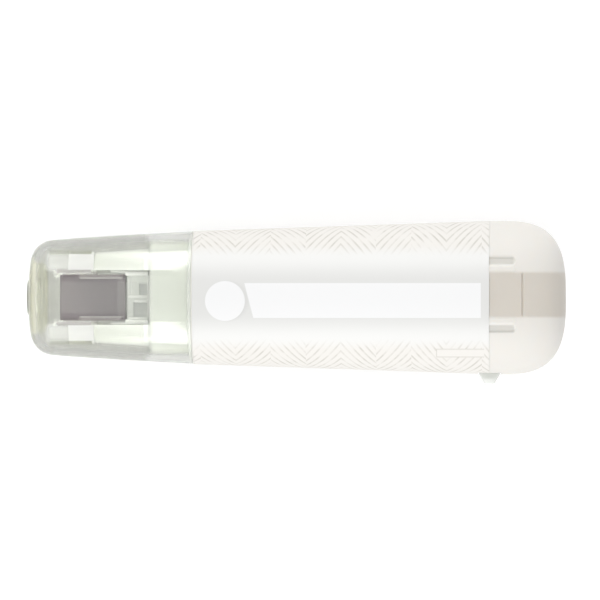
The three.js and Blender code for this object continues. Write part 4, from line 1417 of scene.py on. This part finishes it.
@dataclass
class Latch:
    """The release button in its hole across the seam between barrel and tail, and its spring.
    """

    station: float = 74.0
    base_length: float = 3.3
    base_height: float = 4.0
    clearance: float = 0.2
    reach: float = 14.0
    depth: float = 6.4
    button_round: float = 0.18
    spring_inner: float = -6.5
    spring_outer: float = -8.41
    spring_radius: float = 1.37
    spring_turns: float = 4.5
    spring_steps: int = 220
    closer_ends: float = 0.045
    wire: float = 0.26
    spring_keep: float = 0.37

    def spring(self) -> bpy.types.Object:
        """Builds the coil, whose end turns lie closer.

        Returns:
            The coil.
        """
        share = np.linspace(0, 1, self.spring_steps)
        eased = share - self.closer_ends * np.sin(2 * math.pi * share)
        turn = 2 * math.pi * self.spring_turns * share
        inner, outer = self.spring_inner - self.wire / 2, self.spring_outer + self.wire / 2
        path = np.stack((self.station + self.spring_radius * np.cos(turn), inner + (outer - inner) * eased,
                         self.spring_radius * np.sin(turn)), axis=-1)
        return sweep("release_coil", path, self.wire / 2)

    def hole(self) -> bpy.types.Object:
        """Builds the block that is cut out of the shells.

        Returns:
            The block.
        """
        half = self.base_length / 2 + self.clearance
        tall = self.base_height / 2 + self.clearance
        return make_box((self.station - half, -self.reach, -tall), (self.station + half, -self.depth, tall))

    def assemble(self) -> None:
        """Builds and dresses the button and the spring."""
        button = copy_node("release_button", "release_stud")
        ease(button, self.button_round)
        dress(button, Slot.FROSTED, "button", "release_button", finish=THIN_FROSTED)
        spring = self.spring()
        dress(spring, Slot.STEEL, "body", "release_spring")
        seat = AXIS.to_row(np.array(((self.station, self.spring_inner, 0.0),)))[0]
        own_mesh(spring)


@dataclass
class Barrel:
    """The white tapered tube with its shallow pocket, and the printed film in that pocket."""

    latch: Latch
    front: float = 26.66
    rear: float = 73.98
    front_radius: float = 10.66
    front_round: float = 0.04
    inner_round: float = 0.2
    taper: float = 0.0337
    wall: float = 1.3
    pocket: float = 0.25
    pocket_match: float = 0.1
    pocket_ramp: float = 0.02
    film_front: float = 26.82
    film_rear: float = 73.97
    film_gap: float = 0.01
    film_thickness: float = 0.2
    film_lip: float = 0.012
    lip_steps: int = 3
    seam_half_width: float = 1.7
    seam_ramp: float = 0.003
    seam_spare: float = 1e-6

    def radius(self, station: float | np.ndarray) -> float | np.ndarray:
        """Gives the outside radius at a station."""
        return self.front_radius + (station - self.front) * self.taper

    def fill_seam(self, corners: Corners) -> np.ndarray:
        """Makes the tube full height between the film's edges.

        Args:
            corners: The tube's corners.

        Returns:
            What is added to each radius.
        """
        depth = self.radius(corners.stations) - corners.radii
        in_pocket = np.isclose(depth, self.pocket, rtol=self.pocket_match)
        edge = self.seam_half_width / self.front_radius + self.seam_spare
        under = np.abs(corners.turns - math.pi) <= edge
        return np.where(in_pocket & under, self.pocket, 0.0)

    def tube(self) -> bpy.types.Object:
        """Builds the tube.

        Returns:
            The tube, with the button's hole.
        """
        start = self.film_front - self.film_gap
        outline = rounded([
            (self.front, self.radius(self.front) - self.wall, self.inner_round),
            (self.front, self.radius(self.front), self.front_round),
            (start - self.pocket_ramp, self.radius(start), 0.0),
            (start, self.radius(start) - self.pocket, 0.0),
            (self.rear, self.radius(self.rear) - self.pocket, 0.0),
            (self.rear, self.radius(self.rear) - self.wall, self.inner_round),
        ])
        edge = self.seam_half_width / self.front_radius
        ramp = edge + self.seam_ramp
        seam = [math.pi + turn for turn in (-ramp, -edge, edge, ramp)]
        angles = np.sort(np.concatenate((round_angles(), seam)))
        tube = revolve("barrel_tube", outline, angles, relief=self.fill_seam)
        combine(tube, [self.latch.hole()], "DIFFERENCE")
        return tube

    def film(self) -> bpy.types.Object:
        """Builds the film, which is open under the body.

        Returns:
            The film, with the button's hole.
        """
        reach = math.pi - (self.seam_half_width + self.film_gap) / self.front_radius
        outline = rounded([
            (self.film_front, self.radius(self.film_front) - self.film_thickness, 0.0),
            (self.film_front, self.radius(self.film_front), self.film_lip),
            (self.film_rear, self.radius(self.film_rear), self.film_lip),
            (self.film_rear, self.radius(self.film_rear) - self.film_thickness, 0.0),
        ], self.lip_steps)
        film = revolve("label_film", outline, np.linspace(-reach, reach, ROUND_STEPS), whole=False)
        combine(film, [self.latch.hole()], "DIFFERENCE")
        return film

    def assemble(self) -> None:
        """Builds and dresses the tube and the film."""
        dress(self.tube(), Slot.BODY, "body", "barrel")
        dress(self.film(), Slot.LABEL, "body", "label_sleeve")


@dataclass
class Tail:
    """The cream end piece: a squarish dome with two finger slots, two ridges and a tongue's end line."""

    latch: Latch
    front: float = 73.99
    front_round: float = 0.01
    front_step: float = 0.15
    rear: float = 86.2
    radius: float = 12.258
    wall: float = 1.3
    shoulder: float = 10.6
    roundness: float = 3.0
    skirt_length: float = 3.0
    skirt_outer: float = 10.706
    skirt_wall: float = 0.75
    skirt_inner_round: float = 0.15
    skirt_outer_round: float = 0.2
    centre: float = 0.43
    top_from: float = 0.3
    slot_offset: float = 5.38
    slot_half_width: float = 0.56
    slot_rear: float = 78.1
    slot_depth: float = 0.22
    ridge_offset: float = 4.1
    ridge_half_width: float = 0.45
    ridge_height: float = 0.14
    line_station: float = 79.25
    line_half_width: float = 0.12
    line_half_length: float = 3.4
    line_depth: float = 0.3
    flat_half_width: float = 3.4
    flat_share: float = 0.42
    least_cosine: float = 0.1
    outside_match: float = 0.05
    edge: float = 0.4
    line_edge: float = 0.1
    fine_past_slot: float = 0.4
    fine_past_line: float = 0.6
    row_gap: float = 0.1
    fine_rows: int = 64
    dome_rows: int = 44
    inner_rows: int = 16
    fine_columns: int = 150
    sharp_angle: float = 50.0

    def dome(self, radius: float, rear: float, length: float, rows: int) -> list[Pair]:
        """Gives a squarish dome's outline, without its first point.

        Args:
            radius: Radius where the dome starts.
            rear: Station of its end, on the axis.
            length: Length of the dome.
            rows: Steps along it.

        Returns:
            The outline, which ends on the axis.
        """
        power = 2 / self.roundness
        points = []
        for turn in np.linspace(0, math.pi / 2, rows + 1)[1:-1]:
            along, across = math.sin(turn) ** power, math.cos(turn) ** power
            points.append((rear - length + length * along, radius * across))
        return [*points, (rear, 0.0)]

    def outer_radius(self, stations: np.ndarray) -> np.ndarray:
        """Gives the outside radius at stations ahead of the dome's end."""
        along = np.clip((stations - (self.rear - self.shoulder)) / self.shoulder, 0, 1)
        return self.radius * (1 - along ** self.roundness) ** (1 / self.roundness)

    def within(self, distance: np.ndarray, half: float, soft: float) -> np.ndarray:
        """Gives 1 nearer than half a width and 0 beyond it, with a soft edge."""
        share = np.clip((half + soft / 2 - distance) / soft, 0, 1)
        return share * share * (3 - 2 * share)

    def long_mark(self, corners: Corners, y: np.ndarray, offset: float, half: float) -> np.ndarray:
        """Gives 1 in a pair of marks with round ends, which run back from the front.

        Args:
            corners: The shell's corners.
            y: Their places across, from the tail's centre.
            offset: Each mark's distance from the centre.
            half: Half its width.

        Returns:
            The marks, from 0 to 1.
        """
        past = np.maximum(corners.stations - (self.slot_rear - half), 0)
        return self.within(np.hypot(np.abs(y) - offset, past), half, self.edge)

    def relief(self, corners: Corners) -> np.ndarray:
        """Shapes the slots, the ridges and the tongue's end line on the top.

        Args:
            corners: The shell's corners.

        Returns:
            What is added to each radius.
        """
        stations, radii = corners.stations, corners.radii
        y = radii * np.sin(corners.turns) - self.centre
        top = (np.cos(corners.turns) > self.top_from) & (stations > self.front)
        top &= radii > self.radius - self.wall / 2
        slot = self.long_mark(corners, y, self.slot_offset, self.slot_half_width)
        ridge = self.long_mark(corners, y, self.ridge_offset, self.ridge_half_width)
        line = self.within(np.abs(stations - self.line_station), self.line_half_width, self.line_edge)
        line = line * self.within(np.abs(y), self.line_half_length, self.edge)
        shaped = ridge * self.ridge_height - slot * self.slot_depth - line * self.line_depth
        return np.where(top, shaped, 0.0) + self.flat(corners)

    def flat(self, corners: Corners) -> np.ndarray:
        """Flattens a narrow band along the top.

        Args:
            corners: The shell's corners.

        Returns:
            What is added to each radius.
        """
        radii = corners.radii
        outer = self.outer_radius(corners.stations)
        outside = np.isclose(radii, outer, rtol=0.0, atol=self.outside_match)
        outside &= np.cos(corners.turns) > self.top_from
        outside &= corners.stations > self.front - self.front_round
        half = np.minimum(self.flat_half_width, radii * self.flat_share)
        turned = np.cos(corners.turns - math.asin(self.centre / self.radius))
        chord = np.sqrt(radii ** 2 - half ** 2) / np.maximum(turned, self.least_cosine)
        return np.where(outside, np.minimum(chord - radii, 0.0), 0.0)

    def angles(self) -> np.ndarray:
        """Gives the turn's angles, which are close together across the slots and the ridges.

        Returns:
            The angles, from the top towards high y.
        """
        reach = (self.slot_offset + self.slot_half_width + self.centre + self.fine_past_slot) / self.radius
        fine = np.linspace(-reach, reach, self.fine_columns)
        return np.concatenate((fine, np.linspace(reach, 2 * math.pi - reach, ROUND_STEPS)[1:-1]))

    def build(self) -> bpy.types.Object:
        """Builds the shell with its skirt.

        Returns:
            The shell, with the button's hole.
        """
        shoulder = self.rear - self.shoulder
        fine_end = self.line_station + self.fine_past_line
        stations = np.linspace(self.front + self.front_step, fine_end, self.fine_rows)
        outside = [(station, self.outer_radius(station)) for station in stations]
        dome = self.dome(self.radius, self.rear, self.shoulder, self.dome_rows)
        outside += [point for point in dome if point[0] > fine_end + self.row_gap]
        inner = self.radius - self.wall
        inside = self.dome(inner, self.rear - self.wall, self.shoulder - self.wall, self.inner_rows)
        skirt_front = self.front - self.skirt_length
        skirt_inner = self.skirt_outer - self.skirt_wall
        skirt = rounded([
            (shoulder, skirt_inner, 0.0),
            (skirt_front, skirt_inner, self.skirt_inner_round),
            (skirt_front, self.skirt_outer, self.skirt_outer_round),
            (self.front, self.skirt_outer, 0.0),
            (self.front, self.radius, self.front_round),
            (self.front + self.front_step, self.radius, 0.0),
        ])[:-1]
        outline = [*skirt, *outside, *reversed(inside), (shoulder, inner)]
        shell = revolve("tail_cap", outline, self.angles(), relief=self.relief)
        combine(shell, [self.latch.hole()], "DIFFERENCE", self.sharp_angle)
        return shell

    def assemble(self) -> None:
        """Builds and dresses the tail."""
        dress(self.build(), Slot.TAIL, "body", "tail_shell")


@dataclass
class Cartridge:
    """The plates, reels and gears inside, whose CAD shapes are right as they are."""

    slots: tuple[tuple[str, Slot], ...] = (
        ("cartridge_base", Slot.CHASSIS),
        ("cartridge_cover", Slot.CHASSIS),
        ("supply_spool", Slot.GEARS),
        ("tape_roll", Slot.TAPE),
        ("supply_gear", Slot.GEARS),
        ("clutch_ring", Slot.STEEL),
        ("idler_gear", Slot.GEARS),
        ("take_up_gear", Slot.GEARS),
        ("take_up_spool", Slot.GEARS),
    )

    def assemble(self) -> None:
        """Finishes each node."""
        for name, slot in self.slots:
            dress_node(name, slot)
        dress_node("used_film_roll", Slot.FILM, WOUND_FILM)


@dataclass(frozen=True)
class SoftBox:
    """A soft box that faces the body.

    Its height covers a range of elevations, seen from the body. Its bearing and elevations are in degrees,
    and its width and distance in metres.
    """

    name: str
    bearing: float
    low: float
    high: float
    width: float
    radiance: float
    distance: float = 0.42

    def hang(self, aim: Vector) -> None:
        """Hangs the box.

        Args:
            aim: What it points at.
        """
        rise = math.radians((self.low + self.high) / 2)
        turn = math.radians(self.bearing)
        way = Vector((math.cos(turn) * math.cos(rise), math.sin(turn) * math.cos(rise), math.sin(rise)))
        lamp = bpy.data.lights.new(self.name, "AREA")
        lamp.shape = "RECTANGLE"
        lamp.size = self.width
        lamp.size_y = 2 * self.distance * math.tan(math.radians((self.high - self.low) / 2))
        lamp.energy = self.radiance * math.pi * lamp.size * lamp.size_y
        box = bpy.data.objects.new(self.name, lamp)
        box.location = aim + way * self.distance
        box.rotation_euler = (-way).to_track_quat("-Z", "Y").to_euler()
        box.visible_camera = False
        bpy.context.scene.collection.objects.link(box)


@dataclass
class Studio:
    """White floor, soft boxes above and on all sides of the body, and the camera, with sizes in metres.

    The lens and the sensor are in millimetres, as a camera's are.
    """

    centre_x: float = 0.00056
    centre_y: float = 0.00035
    axis_height: float = 0.0119
    view_width: float = 0.096
    lens: float = 400.0
    sensor: float = 36.0
    clip_start: float = 0.1
    bounces: int = 24
    floor_size: float = 3.0
    floor_glow: float = 0.42
    floor_colour: Colour = (0.66, 0.66, 0.66)
    floor_bounce: Colour = (0.55, 0.55, 0.55)
    floor_through: float = 0.03
    sky: float = 0.47
    # Each box's name, bearing, lowest and highest elevation, width and radiance.
    boxes: tuple[SoftBox, ...] = (
        SoftBox("top_box", 0.0, 50.0, 130.0, 0.70, 0.44),
        SoftBox("left_box", 90.0, 0.0, 36.0, 0.17, 6.5),
        SoftBox("right_box", -90.0, 0.5, 43.0, 0.17, 5.9),
        SoftBox("nose_box", 180.0, 2.0, 28.0, 0.30, 1.6),
        SoftBox("tail_box", 0.0, 4.0, 34.0, 0.40, 0.9),
    )

    def lit_rays(self, sheet: Sheet, through: float = 1.0) -> Socket:
        """Gives 1 for the rays that see the backdrop: camera, glossy and transmission rays.

        Args:
            sheet: The nodes of the floor or the sky.
            through: What it gives for transmission rays instead of 1.

        Returns:
            The share of the backdrop's own look.
        """
        path = sheet.add("LightPath").outputs
        direct = sheet.largest(path["Is Camera Ray"], path["Is Glossy Ray"])
        every = sheet.largest(direct, path["Is Transmission Ray"])
        weaker = sheet.math("MULTIPLY_ADD", path["Is Transmission Ray"], through - 1, 1.0)
        return sheet.times(every, weaker)

    def world(self) -> None:
        """Lights the scene evenly from a sky that looks white."""
        world = bpy.data.worlds.new("studio sky")
        sheet = Sheet(world)
        white = (1.0, 1.0, 1.0, 1.0)
        lighting = sheet.add("Background", {"Color": white, "Strength": self.sky})
        looks = sheet.add("Background", {"Color": white})
        mix = sheet.add("MixShader", {0: self.lit_rays(sheet), 1: lighting.outputs[0], 2: looks.outputs[0]})
        sheet.add("OutputWorld", {"Surface": mix.outputs[0]})
        bpy.context.scene.world = world

    def floor(self) -> None:
        """Lays the floor, which looks white and keeps a soft shadow."""
        half = self.floor_size / 2
        corners = [(-half, -half, 0.0), (half, -half, 0.0), (half, half, 0.0), (-half, half, 0.0)]
        mesh = bpy.data.meshes.new("floor")
        mesh.from_pydata(corners, [], [(0, 1, 2, 3)])
        floor = bpy.data.objects.new("floor", mesh)
        bpy.context.scene.collection.objects.link(floor)
        material = bpy.data.materials.new("studio floor")
        sheet = Sheet(material)
        pale = sheet.add("BsdfDiffuse", {"Color": (*self.floor_bounce, 1.0)})
        seen = sheet.add("BsdfDiffuse", {"Color": (*self.floor_colour, 1.0)})
        glow = sheet.add("Emission", {"Strength": self.floor_glow})
        both = sheet.add("AddShader", {0: seen.outputs[0], 1: glow.outputs[0]})
        share = self.lit_rays(sheet, self.floor_through)
        mix = sheet.add("MixShader", {0: share, 1: pale.outputs[0], 2: both.outputs[0]})
        sheet.add("OutputMaterial", {"Surface": mix.outputs[0]})
        mesh.materials.append(material)

    def camera(self) -> None:
        """Sets the camera straight above, as the photograph was taken."""
        data = bpy.data.cameras.new("camera")
        data.lens = self.lens
        data.sensor_width = self.sensor
        data.clip_start = self.clip_start
        camera = bpy.data.objects.new("camera", data)
        distance = self.view_width / self.sensor * self.lens
        camera.location = (self.centre_x, self.centre_y, self.axis_height + distance)
        bpy.context.scene.collection.objects.link(camera)
        bpy.context.scene.camera = camera

    def light_paths(self) -> None:
        """Lets light bounce often enough to get in and out of the clear pieces."""
        cycles = bpy.context.scene.cycles
        cycles.max_bounces = self.bounces
        cycles.transmission_bounces = self.bounces
        cycles.glossy_bounces = self.bounces
        cycles.diffuse_bounces = self.bounces // 2
        cycles.blur_glossy = 0.0

    def assemble(self) -> None:
        """Builds the studio."""
        self.world()
        self.floor()
        for box in self.boxes:
            box.hang(Vector((0, 0, self.axis_height)))
        self.camera()
        self.light_paths()
        bpy.context.scene.view_settings.view_transform = "Standard"


def main() -> None:
    """Builds the sub-assemblies in order."""
    logging.basicConfig(level=logging.INFO, format="%(message)s")
    latch = Latch()
    for assembly in (Studio(), ClearCap(), Nose(Holder()), Barrel(latch), Tail(latch), latch, Cartridge()):
        assembly.assemble()


if __name__ == "__main__":
    main()
